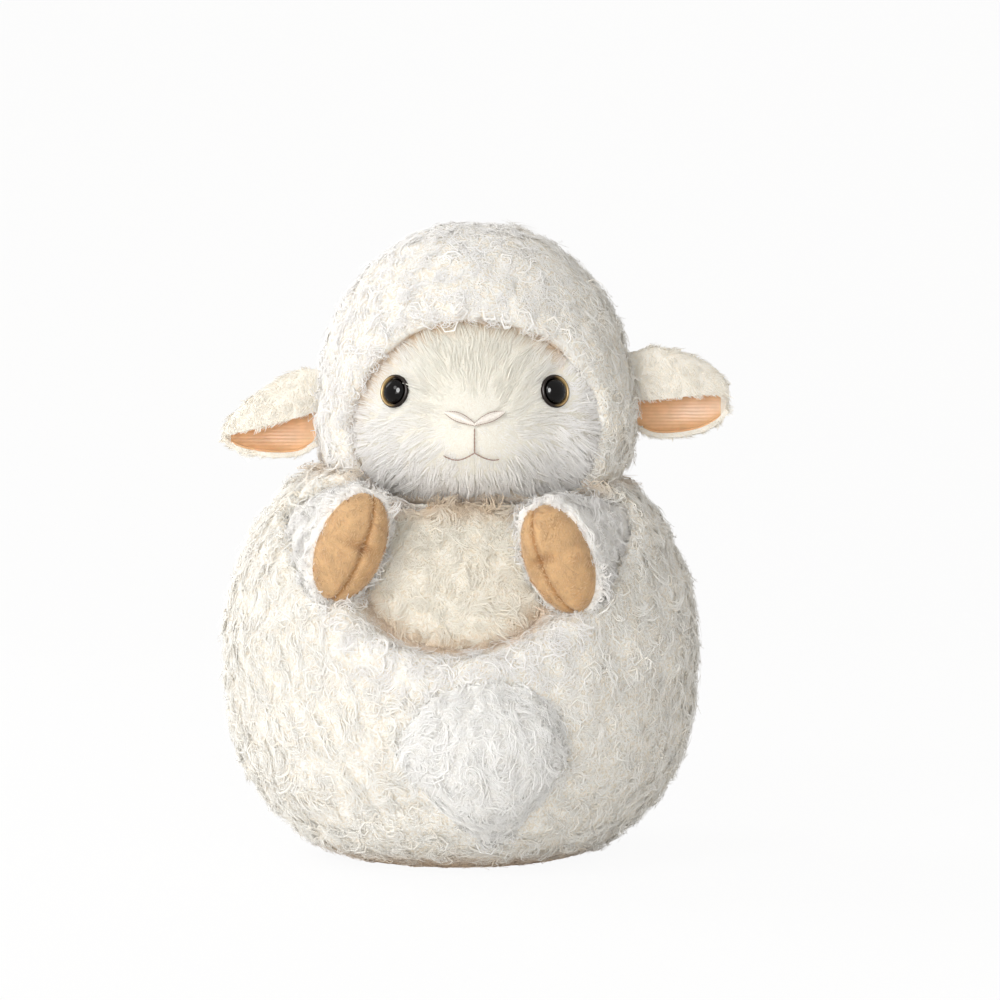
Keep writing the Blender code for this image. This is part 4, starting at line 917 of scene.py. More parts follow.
def settle(piece, body, slot, *nodes, fill=None, bends=None):
    """Hand a finished piece to the frame; one sewn across a joint bends away from another body."""
    if bends:
        other, start, end = bends
        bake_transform(piece, other, body, start=tuple(start), end=tuple(end))
    else:
        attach(piece, body)
    if nodes:
        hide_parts(*nodes)


def wool_materials():
    """The cloth and the pile that the body and the hood share."""
    shades = colours()
    cloth = cloth_material("Knitted pile backing", shades.wool_root, 2.0, 1.0, top=shades.wool)
    pile = pile_material("Crimped polyester wool pile", shades.wool, shades.wool_root)
    return cloth, pile


# Operators


class SHEEP_OT_body_wool(bpy.types.Operator):
    """Make the body's four panels of curly wool"""

    bl_idname = "sheep.body_wool"
    bl_label = "Body wool"

    def execute(self, context):
        panels = [f"{part}_panel_{word}" for part in ("lap", "back") for word in SIDES.values()]
        mass = soft_mass("body mass", [*panels, "body_stuffing", "base_panel"], 1.8 * MM, 9)
        points, outward = places(mass), normals(mass)
        pocket = (points - np.array(POCKET_CENTRE)) / np.array(POCKET_SEMI_AXES)
        reach = np.linalg.norm(pocket, axis=1)
        rim = np.exp(-(((reach - 1.10) / 0.11) ** 2)) * (outward[:, 1] < 0.2)
        low = ramp(points[:, 2], 0, 8)
        from_neck = np.hypot(points[:, 0] - NECK.x, points[:, 1] - NECK.y)
        # heights about the neck: where the head rests, the wool flattens, turns bare and lies in the head's shade
        rests, flattens, bare, shaded = 0.1375, 0.1320, 0.1365, 0.1280
        seat = np.array([head_radius(max(z, rests)) for z in points[:, 2]])
        clear = np.where(points[:, 2] > flattens, ramp(from_neck - seat, 1.5, 6), 1.0)
        to_sleeve = distance_to(["arm_sleeve_left", "arm_sleeve_right"], points)
        by_sleeve = bell(to_sleeve, 5) * (outward[:, 1] < 0.3)
        swell = 1.0 * lumps(points, 9 * MM, 1) + 1.2 * lumps(points, 24 * MM, 2) + 0.7 * lumps(points, 4 * MM, 6)
        swell = (swell * low + 0.7 + 1.3 * rim + 0.8 * by_sleeve) * clear - 0.5 * (1 - clear)
        points += outward * (swell * MM)[:, None]
        points[:, 2] = np.maximum(points[:, 2], 0.4 * MM)
        move_to(mass, points)
        outward = normals(mass)
        grows = np.ones(len(points))
        grows[(points[:, 2] > bare) & (from_neck < seat + 1.2 * MM)] = 0
        grows[points[:, 2] < 1.2 * MM] = 0
        to_belly = distance_to(["belly_panel"], points)
        grows[to_belly < 1.4 * MM] = 0
        grows[to_sleeve < 0.4 * MM] = 0
        on_floor = bell(points[:, 2], 5)
        at_belly = bell(to_belly, 4.5)
        at_neck = bell(from_neck - seat, 7) * (points[:, 2] > shaded)
        grows[distance_to(["tail_backing"], points) < 0.5 * MM] = 0
        down = np.tile((0.0, 0.0, -0.7), (len(points), 1))
        away = np.stack((pocket[:, 0], np.zeros(len(points)), pocket[:, 2]), axis=1)
        down *= np.clip(points[:, 2:] / (20 * MM), 0.1, 1)
        comb = down + unit_rows(away) * rim[:, None] * 0.5
        comb += unit_rows(points * np.array((1, 1, 0))) * (0.9 * on_floor + 0.9 * at_neck)[:, None]
        inwards = np.stack((-np.sign(points[:, 0]), np.full(len(points), -0.3), np.zeros(len(points))), axis=1)
        comb += inwards * by_sleeve[:, None] * 1.6
        behind = ramp(points[:, 1], -25, 30)
        under_tail = np.exp(-(((points[:, 0] - 8 * MM) / (38 * MM)) ** 2) - ((points[:, 2] - 80 * MM) / (16 * MM)) ** 2)
        guide(
            mass, comb, pile=grows * (1 - 0.58 * behind),
            pile_length=0.45 + 0.5 * low + 0.12 * rim + 0.5 * by_sleeve,
            # paler pile: a painted highlight along the pocket's rim, and whiter wool near the tail
            bright=np.clip(rim + under_tail * (outward[:, 1] < 0), 0, 1),
            # painted shade: tan along the floor, round the belly's pocket and under the head
            warm=np.clip(0.75 * on_floor + 0.6 * at_belly + 0.4 * at_neck, 0, 1),
        )
        cloth, pile = wool_materials()
        seam = 0.04 * MM
        for side, word in SIDES.items():
            middle = (Vector((side * seam, 0, 0)), Vector((-side, 0, 0)))
            for part, turn in (("lap", 1), ("back", -1)):
                edge = (Vector((0, SIDE_SEAM_Y - turn * seam, 0)), Vector((0, turn, 0)))
                piece = new_piece(f"{part}_wool_{word}", cut_away(mass, middle, edge))
                grow_pile(
                    piece, cloth, pile, lock_spacing=sizes().lock_spacing, strand_density=360000.0,
                    length=sizes().wool_length, thickness=sizes().wool_thickness, rise=0.5, lean=0.45,
                    curl_radius=1.9 * MM, turns=1.15, gather=0.35, mess=1.1, sink=0.9 * MM, points=6,
                    seed=sizes().seed + turn + 2 * side,
                )
                hidden = ["body_stuffing"] if (part, side) == ("lap", LEFT) else []
                settle(piece, "body", "curly_wool", f"{part}_panel_{word}", *hidden, fill=0.85)
        bpy.data.meshes.remove(mass)
        return {"FINISHED"}


class SHEEP_OT_belly_wool(bpy.types.Operator):
    """Make the cream belly inside the pocket"""

    bl_idname = "sheep.belly_wool"
    bl_label = "Belly wool"

    def execute(self, context):
        mass = soft_mass("belly_wool", ["belly_panel"], 1.6 * MM, 4)
        points, outward = places(mass), normals(mass)
        points += outward * (-0.6 * MM + 0.9 * MM * lumps(points, 8 * MM, 5))[:, None]
        move_to(mass, points)
        to_rim = distance_to(["lap_panel_left", "lap_panel_right"], points)
        under_chin = ramp(points[:, 2], 133, 6)
        comb = np.tile((0.0, 0.0, -0.5), (len(points), 1))
        comb[:, 2] += 1.1 * under_chin
        guide(
            mass, comb, pile=normals(mass)[:, 1] < 0.25, pile_length=1 + 0.6 * under_chin,
            # painted shade: tan along the pocket's rim and under the chin
            warm=np.clip(0.5 * bell(to_rim, 5) + 0.5 * under_chin, 0, 1),
        )
        shades = colours()
        piece = new_piece("belly_wool", mass)
        grow_pile(
            piece, cloth_material("Knitted belly backing", shades.belly_root, 1.9, 1.0, top=shades.belly),
            pile_material("Crimped polyester belly pile", shades.belly, shades.belly_root),
            lock_spacing=4.2 * MM, strand_density=920000.0, length=sizes().belly_length, thickness=0.54 * MM,
            rise=0.5, lean=0.45, curl_radius=1.3 * MM, turns=0.9, gather=0.35, mess=1.4, sink=1.0 * MM, points=5,
        )
        settle(piece, "body", "belly_wool", "belly_panel", fill=0.8)
        return {"FINISHED"}


class SHEEP_OT_base(bpy.types.Operator):
    """Make the cloth disc the sheep sits on, and leave the neck's stitches and the pouch under the wool"""

    bl_idname = "sheep.base"
    bl_label = "Base and inner parts"

    def execute(self, context):
        rings = [(0, 0.0), (30, 0.0), (33.8, 0.25), (34.8, 1.0), (34.6, 2.6), (31.5, 5.2), (0, 6.9)]
        mesh = turned("base_cloth", Matrix.Identity(4), [(r * MM, z * MM) for r, z in rings], 96)
        face_outwards(mesh)
        # tan cloth; its colour also gives the brownish shade seen along the floor under the wool, so it is partly
        # painted shade
        woven = cloth_material("Plain woven base cloth", linear("#CDB28C"), 0.9, 0.5)
        piece = new_piece("base_cloth", mesh, woven)
        settle(piece, "body", "base_cloth", "base_panel", fill=0.3)
        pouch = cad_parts["pellet_pouch"]
        pouch.material_slots[0].material = cloth_material("Woven pellet pouch", linear("#DEDCD8"), 1.0, 0.5)
        thread = thread_material("Twisted closing thread", linear("#EFE9DC"))
        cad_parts["neck_seam"].material_slots[0].material = thread
        washer = plastic_material("Moulded nylon washer", linear("#E6E6E6"), 0.5)
        for word in SIDES.values():
            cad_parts[f"eye_washer_{word}"].material_slots[0].material = washer
        return {"FINISHED"}


class SHEEP_OT_tail(bpy.types.Operator):
    """Make the long white wool of the tail flap"""

    bl_idname = "sheep.tail"
    bl_label = "Tail"

    def execute(self, context):
        mass = soft_mass("tail_wool", ["tail_face", "tail_backing"], 1.6 * MM, 5)
        points, outward = places(mass), normals(mass)
        middle_x = TAIL_CENTRE.x + math.tan(TAIL_TILT) * (TAIL_CENTRE.z - points[:, 2])
        across = points[:, 0] - middle_x
        parting = bell(across, 3.5) * (outward[:, 1] < 0)
        points += outward * (-0.8 * MM - 0.7 * MM * parting + 1.0 * MM * lumps(points, 9 * MM, 9))[:, None]
        points[:, 0] -= 0.28 * across * fall(points[:, 2], 46, 28)
        move_to(mass, points)
        height = ramp(points[:, 2], 18, 30)
        axis = bell(across, 12)
        upward = ramp(points[:, 2], 73, 7)
        spread = ramp(points[:, 2], 22, 24) * 2 - 1
        comb = np.stack((spread * across / (22 * MM), np.zeros(len(points)), 2.0 * upward - 1.0), axis=1)
        longer = 0.5 + 0.5 * height + 0.4 * axis * (1 - height)
        guide(mass, comb * 1.2, pile=normals(mass)[:, 1] < 0.35, pile_length=longer)
        shades = colours()
        piece = new_piece("tail_wool", mass)
        grow_pile(
            piece, cloth_material("Knitted tail backing", linear("#F4F2EE"), 1.8, 0.9, top=shades.tail),
            pile_material("Long brushed polyester wool", shades.tail, linear("#FBF9F4")),
            lock_spacing=4.0 * MM, strand_density=880000.0, length=sizes().tail_length, thickness=0.48 * MM,
            rise=0.36, lean=0.55, curl_radius=1.5 * MM, turns=1.1, gather=0.4, mess=0.8, sink=0.7 * MM, points=6,
        )
        settle(piece, "tail", "tail_wool", "tail_face", "tail_backing", fill=0.6)
        return {"FINISHED"}


class SHEEP_OT_hood(bpy.types.Operator):
    """Make the curly hood round the face"""

    bl_idname = "sheep.hood"
    bl_label = "Hood wool"

    def execute(self, context):
        mass = soft_mass("hood mass", ["hood_panel_left", "hood_panel_right", "head_stuffing"], 1.7 * MM, 7)
        points, outward = places(mass), normals(mass)
        opening = (points - np.array(FACE_CENTRE)) / np.array(FACE_SEMI_AXES)
        reach = np.linalg.norm(opening, axis=1)
        rim = np.exp(-(((reach - 1.12) / 0.10) ** 2)) * (outward[:, 1] < 0.4)
        near_body = distance_to(["body_stuffing", "back_panel_left", "back_panel_right"], points)
        clear = ramp(near_body, 1.0, 5)
        swell = 1.0 * lumps(points, 9 * MM, 3) + 1.0 * lumps(points, 22 * MM, 4) + 0.7 * lumps(points, 4 * MM, 7)
        swell = (swell + 1.0 + 0.8 * rim) * clear - 0.5 * (1 - clear)
        points += outward * (swell * MM)[:, None]
        move_to(mass, points)
        grows = np.ones(len(points))
        lower_edge = 0.1475  # below it the hood is tucked into the neck, and bare
        grows[(points[:, 2] < lower_edge) | (near_body < 1.8 * MM)] = 0
        face_nodes = ["cheek_panel_left", "cheek_panel_right", "forehead_gusset"]
        to_face = distance_to(face_nodes, points)
        grows[to_face < 1.0 * MM] = 0
        # painted shade: tan along the hood's edge where it overhangs the face
        painted_tan_shade = 0.8 * bell(to_face, 2.5) * (points[:, 0] < 40 * MM)
        away = unit_rows(np.stack((opening[:, 0], np.zeros(len(points)), opening[:, 2]), axis=1))
        down = np.tile((0.0, 0.3, -0.5), (len(points), 1))
        behind = ramp(points[:, 1], -10, 25)
        round_ear = np.zeros(len(points))
        for root in EAR_ROOTS.values():
            far = np.linalg.norm((points - np.array(root)) * np.array((1, 1, 0.6)), axis=1)
            round_ear = np.maximum(round_ear, bell(far, 15))
        sides = ramp(np.abs(points[:, 0] - NECK.x), 0, 45) * (points[:, 2] < 185 * MM)
        sides = np.where(points[:, 0] > NECK.x, 0.7, 0.3) * sides
        outwards = np.stack((np.sign(points[:, 0] - NECK.x), np.zeros(len(points)), np.zeros(len(points))), axis=1)
        covers = np.where(points[:, 0] > NECK.x + 20 * MM, 1.8, 0.7)
        comb = down - away * (rim * covers)[:, None] + outwards * (0.7 * round_ear)[:, None]
        from_neck = unit_rows((points - np.array(NECK)) * np.array((1, 1, 0)))
        comb += from_neck * (1.2 * bell(near_body, 7) * (rim < 0.3))[:, None]
        guide(
            mass, comb, pile=grows * (1 - 0.6 * behind),
            pile_length=0.9 - 0.08 * rim + 0.3 * round_ear + rim * sides,
            # paler pile towards the side the key lamp lights, a painted light; tan near the neck is painted shade
            bright=fall(points[:, 0], 60, 50), warm=np.clip(painted_tan_shade + 0.35 * bell(near_body, 7), 0, 1),
        )
        cloth, pile = wool_materials()
        for side, word in SIDES.items():
            middle = (Vector((NECK.x + side * 0.04 * MM, 0, 0)), Vector((-side, 0, 0)))
            piece = new_piece(f"hood_wool_{word}", cut_away(mass, middle))
            grow_pile(
                piece, cloth, pile, lock_spacing=sizes().lock_spacing * 0.95, strand_density=350000.0,
                length=sizes().wool_length * 0.95, thickness=sizes().wool_thickness * 0.95, rise=0.48, lean=0.45,
                curl_radius=1.8 * MM, turns=1.15, gather=0.35, mess=1.1, sink=0.9 * MM, points=6,
                seed=sizes().seed + 10 + side,
            )
            settle(piece, "head", "curly_wool", f"hood_panel_{word}", fill=0.85)
        bpy.data.meshes.remove(mass)
        return {"FINISHED"}


class SHEEP_OT_face(bpy.types.Operator):
    """Make the cheeks and the forehead gusset with their straight pile"""

    bl_idname = "sheep.face"
    bl_label = "Face plush"

    high = 0.2195
    side_angle = math.radians(74)

    def seam_azimuth(self, height, side, gap):
        return face_azimuth(side * (gusset_half_width(height) + gap), height)

    def execute(self, context):
        shades = colours()
        cloth = cloth_material("Knitted face backing", shades.face_root, 0.8, 0.3, top=shades.face)
        pile = pile_material("Short straight polyester pile", shades.face, shades.face_root, 0.8, 0.35)
        eyes = [eye_frame(side).translation for side in SIDES]
        gap = 0.03 * MM
        heights = face_heights(self.high)
        for side, word in SIDES.items():
            outer_edge = -math.pi / 2 + side * self.side_angle

            def cheek(u, v, side=side, outer_edge=outer_edge):
                height = float(np.interp(v, np.linspace(0, 1, len(heights)), heights))
                seam = self.seam_azimuth(height, side, gap)
                share = u if side > 0 else 1 - u
                return self.creased(seam + (outer_edge - seam) * share, height)

            mesh = grid_pad(f"cheek_plush_{word}", cheek, 3.6 * MM, 44, 56)
            self.finish(mesh, f"cheek_plush_{word}", f"cheek_panel_{word}", eyes, cloth, pile, 17 + side)

        def gusset(u, v):
            height = GUSSET_OUTLINE[0][0] + 0.6 * MM + (self.high - GUSSET_OUTLINE[0][0]) * v
            left = self.seam_azimuth(height, LEFT, -gap)
            right = self.seam_azimuth(height, RIGHT, -gap)
            return self.creased(right + (left - right) * u, height)

        mesh = grid_pad("forehead_plush", gusset, 3.6 * MM, 28, 34)
        self.finish(mesh, "forehead_plush", "forehead_gusset", eyes, cloth, pile, 31)
        return {"FINISHED"}

    def creased(self, azimuth, height):
        """The face drawn in a little along the gusset's seams, and swelling where the cheeks turn woolly."""
        across = head_radius(height, FACE_INSET) * math.cos(azimuth)
        from_seam = abs(abs(across) - gusset_half_width(height))
        depth = 0.9 * MM if across > 0 else 0.35 * MM
        depth *= min(1.0, max(0.0, (height - NOSE_POINT.z) / (6 * MM)))
        depth *= min(1.0, max(0.25, (EYE_HEIGHT + 12 * MM - height) / (12 * MM)))
        crease = depth * math.exp(-((from_seam / (1.6 * MM)) ** 2))
        chin = min(1.0, max(0.0, (157 * MM - height) / (10 * MM)))
        swell = 2.5 * MM * float(self.woolly(NECK.x + across, height)) + 2.6 * MM * chin
        return face_point(azimuth, height, swell - crease)

    def woolly(self, x, height):
        """How far the pile turns to curly wool at the cheeks' outer edges, which the hood's wool overlaps."""
        share = ramp(x, 36, 8) + ramp(-x, 33, 9)
        return share * fall(height, 200, 10)

    def finish(self, mesh, name, node, eyes, cloth, pile, seed):
        points = places(mesh)
        from_nose = points - np.array(NOSE_POINT)
        far = np.linalg.norm(from_nose, axis=1)
        to_eye = np.min([np.linalg.norm(points - np.array(eye), axis=1) for eye in eyes], axis=0)
        opening = (points - np.array(FACE_CENTRE)) / np.array(FACE_SEMI_AXES)
        reach = np.linalg.norm(opening, axis=1)
        grows = (reach < 1.07) & (to_eye > 6.1 * MM)
        near_nose = np.clip(far / (22 * MM), 0.42, 1.0)
        nearest = np.array([min(eyes, key=lambda eye: (Vector(p) - eye).length) for p in points])
        inner = np.sum((points - nearest) * (nearest - np.array(NOSE_POINT)), axis=1) < 0
        near_eye = np.clip(to_eye / (14 * MM), np.where(inner, 1.0, 0.5), 1.0)
        low = fall(points[:, 2], 178, 20)
        cheeks = low * ramp(far, 18, 22)
        woolly = np.clip(self.woolly(points[:, 0], points[:, 2]) + 0.4 * cheeks, 0, 1)
        chin = fall(points[:, 2], 153, 8)
        middle = np.exp(-(((points[:, 0] - NECK.x) / (24 * MM)) ** 4))
        middle *= ramp(points[:, 2], 166, 14)
        by_hood = np.exp(-(((reach - 1.02) / 0.12) ** 2)) * ramp(points[:, 2], 165, 20)
        lowest = fall(points[:, 2], 144, 6)
        longer = 1 + 0.5 * cheeks + 0.35 * woolly + 0.6 * chin + 0.9 * lowest
        from_middle = np.abs(from_nose[:, :1]) / (7 * MM)
        under = (points[:, 2:] < NOSE_POINT.z) & (from_middle < 1)
        from_nose[:, :1] *= np.where(under, from_middle, 1.0)
        comb = unit_rows(from_nose * np.array((1.0, 0.3, 1.0))) + low[:, None] * np.array((0, 0, -0.5))
        guide(
            mesh, comb * 1.2, pile=grows, pile_length=near_nose * near_eye * longer, curly=1 + 3.4 * woolly,
            # paler pile: whiter wool at the cheeks' edges, painted light on the chin, and painted shade left on the
            # creamier middle of the face
            bright=np.clip(0.75 * (1 - middle) + 0.9 * woolly + 0.7 * chin, 0, 1),
            # painted shade: tan where the hood's edge shades the face, and under the chin
            warm=np.clip(0.85 * by_hood * (points[:, 0] < 40 * MM) + 0.25 * lowest, 0, 1),
        )
        piece = new_piece(name, mesh)
        grow_pile(
            piece, cloth, pile, lock_spacing=3.6 * MM, strand_density=1500000.0, length=sizes().face_pile_length,
            thickness=0.37 * MM, rise=0.36, lean=0.82, curl_radius=0.35 * MM, turns=0.3, gather=0.25, mess=0.4,
            sink=0.5 * MM, points=4, seed=sizes().seed + seed,
        )
        hidden = ["head_stuffing"] if name == "forehead_plush" else []
        settle(piece, "head", "face_plush", node, *hidden, fill=0.9)


class SHEEP_OT_eyes(bpy.types.Operator):
    """Make the polished eyes and their bronze rims"""

    bl_idname = "sheep.eyes"
    bl_label = "Eyes"

    def execute(self, context):
        radius = sizes().pupil_radius
        black = plastic_material("Polished black acrylic", linear("#060403"), 0.05, 0.18)
        bronze = self.rim_material()
        for side, word in SIDES.items():
            matrix = eye_frame(side)
            profile = [(0, -9.5 * MM), (1.5 * MM, -9.5 * MM), (1.5 * MM, -0.4 * MM), (radius * 0.97, -0.2 * MM)]
            for k in range(14):
                angle = math.pi / 2 * k / 14
                profile.append((radius * math.cos(angle), 3.4 * MM * math.sin(angle)))
            profile.append((0, 3.4 * MM))
            piece = new_piece(f"eye_pupil_{word}", turned(f"eye_pupil_{word}", matrix, profile, 64), black)
            settle(piece, "head", "pupil", f"eye_{word}")
            section = []
            for k in range(12):
                angle = 2 * math.pi * k / 12
                section.append((5.72 * MM + 0.68 * MM * math.cos(angle), 0.45 * MM + 0.95 * MM * math.sin(angle)))
            mesh = self.ring(f"eye_ring_{word}", matrix, section, 64)
            back = matrix.inverted()
            shares = []
            for vertex in mesh.vertices:
                outer = side * (vertex.co.x - matrix.translation.x) / (6 * MM)
                edge = ((back @ vertex.co).xy.length / MM - 5.75) / 0.25
                shares.append(min(1.0, max(0.0, 2 * outer)) * min(1.0, max(0.0, 1 - edge)))
            set_numbers(mesh, "gilt", shares)
            piece = new_piece(f"eye_ring_{word}", mesh, bronze)
            settle(piece, "head", "iris", f"eye_rim_{word}")
        return {"FINISHED"}

    def rim_material(self):
        """Clear acrylic over bronze paint that shows as a crescent on the outer side, with a dark outline."""
        material, add = new_material("Painted bronze under clear acrylic")
        gilt = add("ShaderNodeAttribute", output="Fac", attribute_name="gilt")
        tone = add("ShaderNodeMix", {0: gilt, 6: linear("#1F1610"), 7: tuple(colours().iris)}, **COLOUR_MIX)
        shader = add("ShaderNodeBsdfPrincipled", {
            "Base Color": tone, "Metallic": 0.15, "Roughness": 0.35, "Specular IOR Level": 0.25,
        })
        return finish_material(material, shader)

    def ring(self, name, matrix, section, segments):
        points, faces = [], []
        count = len(section)
        for k in range(segments):
            a = 2 * math.pi * k / segments
            points += [matrix @ Vector((r * math.cos(a), r * math.sin(a), h)) for r, h in section]
            here, there = k * count, (k + 1) % segments * count
            for i in range(count):
                faces.append((here + i, there + i, there + (i + 1) % count, here + (i + 1) % count))
        return mesh_from(name, points, faces)


STITCH_INPUTS = (
    ("Width", "NodeSocketFloat", None),
    ("Arch", "NodeSocketFloat", None),
    ("Thread", "NodeSocketMaterial", None),
)
STITCH_ROWS = (
    ("centred", MATHS, "SUBTRACT", "share", 0.5),
    ("turn", MATHS, "MULTIPLY", "share", math.pi),
    ("arch", MATHS, "SINE", "turn"),
    ("height", MATHS, "MULTIPLY", "arch", "Arch"),
    ("along", VECTOR, "SCALE", "run", "centred"),
    ("raised", VECTOR, "SCALE", "out", "height"),
    ("place", VECTOR, "ADD", "middle", "along"),
    ("place", VECTOR, "ADD", "place", "raised"),
    # a stitch is a little thinner where it dives into the cloth
    ("half", MATHS, "MULTIPLY_ADD", "arch", 0.45, 0.55),
    ("half", MATHS, "MULTIPLY", "half", "Width"),
    ("half", MATHS, "MULTIPLY", "half", 0.5),
)


def stitch_tree():
    """Threads laid along the run of each point, arched outwards, for satin stitch and for backstitch."""
    name = "Threads laid on points"
    if name in bpy.data.node_groups:
        return bpy.data.node_groups[name]
    tree, add, given = new_tree(name, STITCH_INPUTS)
    named = {
        label: add("GeometryNodeInputNamedAttribute", {"Name": label}, data_type="FLOAT_VECTOR")
        for label in ("run", "out", "middle")
    }
    values = {**given, **named, "share": add("GeometryNodeSplineParameter", output="Factor")}
    work_out(tree, values, STITCH_ROWS)
    line = add("GeometryNodeResampleCurve", {"Curve": add("GeometryNodeCurvePrimitiveLine"), "Count": 9})
    kept = {"Geometry": given["Geometry"], "Name": "middle", "Value": add("GeometryNodeInputPosition")}
    points = add("GeometryNodeStoreNamedAttribute", kept, data_type="FLOAT_VECTOR")
    curves = add("GeometryNodeInstanceOnPoints", {"Points": points, "Instance": line})
    curves = add("GeometryNodeRealizeInstances", {"Geometry": curves})
    curves = add("GeometryNodeSetPosition", {"Geometry": curves, "Position": values["place"]})
    curves = add("GeometryNodeSetCurveRadius", {"Curve": curves, "Radius": values["half"]})
    profile = add("GeometryNodeCurvePrimitiveCircle", {"Resolution": 6, "Radius": 1.0})
    swept = {"Curve": curves, "Profile Curve": profile, "Fill Caps": True}
    tubes = add("GeometryNodeCurveToMesh", swept, output=None)
    if "Scale" in tubes.inputs:
        tree.links.new(add("GeometryNodeInputRadius"), tubes.inputs["Scale"])
    smooth = add("GeometryNodeSetShadeSmooth", {"Geometry": tubes.outputs[0]})
    real = add("GeometryNodeRealizeInstances", {"Geometry": smooth})
    painted = add("GeometryNodeSetMaterial", {"Geometry": real, "Material": given["Thread"]})
    add("NodeGroupOutput", (painted,), output=None)
    return tree


def lay_threads(name, stitches, width, arch, material):
    """Threads from (middle, run, outward) triples, as one piece."""
    middles, runs, outs = zip(*stitches)
    mesh = bpy.data.meshes.new(name)
    mesh.from_pydata([tuple(middle) for middle in middles], [], [])
    set_vectors(mesh, "run", [tuple(run) for run in runs])
    set_vectors(mesh, "out", [tuple(out) for out in outs])
    piece = new_piece(name, mesh)
    run_tree(piece, stitch_tree(), {"Width": width, "Arch": arch, "Thread": material})
    for label in ("run", "out", "middle"):
        attribute = piece.data.attributes.get(label)
        if attribute is not None:
            piece.data.attributes.remove(attribute)
    return piece


def stitch_place(x, height, outset):
    """A stitch's place on the face at an X and a height, and the direction out of the face there."""
    return face_place(face_azimuth(x - NECK.x, height), height, outset)


class SHEEP_OT_nose_and_mouth(bpy.types.Operator):
    """Stitch the satin nose, the lip line and the mouth"""

    bl_idname = "sheep.nose_and_mouth"
    bl_label = "Nose and mouth"

    def execute(self, context):
        width = sizes().thread_width
        thread = thread_material("Rayon embroidery thread", colours().thread)
        satin = thread_material("Rayon satin stitch", linear("#F5EEE6"))
        petals, edges = [], []
        for side in SIDES:
            petal = []
            for k in range(30):
                share = k / 29
                x = NECK.x + side * 10.8 * MM * share
                height = NOSE_POINT.z + 4.6 * MM * share ** 0.85
                full = (0.2 + 0.8 * math.sin(math.pi * min(1.0, 0.06 + 0.94 * share) ** 1.2)) * 3.4 * MM
                middle, outward = stitch_place(x, height, 0.9 * MM)
                slope = Vector((-side * 0.35, 0, 1.0))
                run = (slope - outward * slope.dot(outward)).normalized() * full
                petal.append((middle, run, outward))
            petals += petal
            for end in (-0.5, 0.5):
                edges.append([(middle + run * end, outward) for middle, run, outward in petal[::2] + petal[-1:]])
        piece = lay_threads("nose_satin", petals, width * 1.1, 0.6 * MM, satin)
        settle(piece, "head", "thread", "nose_stitching")
        self.lines("nose_outline", edges, width * 0.7, thread)
        lip_top = NOSE_POINT.z - 1.6 * MM
        lip = [stitch_place(NECK.x, lip_top - k * 1.35 * MM, 1.0 * MM) for k in range(7)]
        self.lines("lip_line_thread", [lip], width * 1.1, thread, "lip_line_stitching")
        smile = []
        for k in range(-9, 10):
            share = abs(k) / 9
            reach, bend = (11.2, 0.85) if k < 0 else (8.8, 0.62)
            sag = 2.6 * MM * math.sin(math.pi * bend * share)
            across = math.copysign(reach * MM * share, k)
            smile.append(stitch_place(NECK.x + across, NOSE_POINT.z - 10.0 * MM - sag, 1.0 * MM))
        self.lines("mouth_thread", [smile], width * 1.1, thread, "mouth_stitching")
        return {"FINISHED"}

    def lines(self, name, paths, width, material, *nodes):
        """Backstitch along each path of (place, outward) pairs."""
        stitches = []
        for path in paths:
            for (start, out0), (end, out1) in zip(path, path[1:]):
                stitches.append(((start + end) / 2, (end - start) * 1.35, (out0 + out1).normalized()))
        piece = lay_threads(name, stitches, width, 0.12 * MM, material)
        settle(piece, "head", "thread", *nodes)


def ear_point(side, along_share, turn, inset):
    """A point of the ear's cupped leaf, drawn in by an inset towards its hollow.

    The sheep's left ear is a broad leaf and its right ear, which droops more, tapers towards the tip.
    """
    widest, blunt = (2.6, 2.1) if side == LEFT else (1.6, 1.7)
    share = max(0.0, 1 - max(0.0, along_share) ** widest) ** (1 / blunt)
    gathered = 1 - 0.2 * math.exp(-((max(0.0, along_share) / 0.16) ** 2))
    half_height = EAR_HALF_HEIGHT * share * gathered - inset
    half_depth = (EAR_ROOT_HALF_DEPTH + EAR_SWELL_DEPTH * math.sin(math.pi * min(1.0, along_share))) - inset
    half_depth *= 0.55 + 0.45 * share
    out = EAR_BURIED_OUT + (EAR_LENGTH - EAR_BURIED_OUT) * along_share
    up = half_height * math.sin(turn) - out * math.tan(EAR_DROOPS[side])
    return EAR_ROOTS[side] + Vector((side * out, half_depth * math.cos(turn), up))


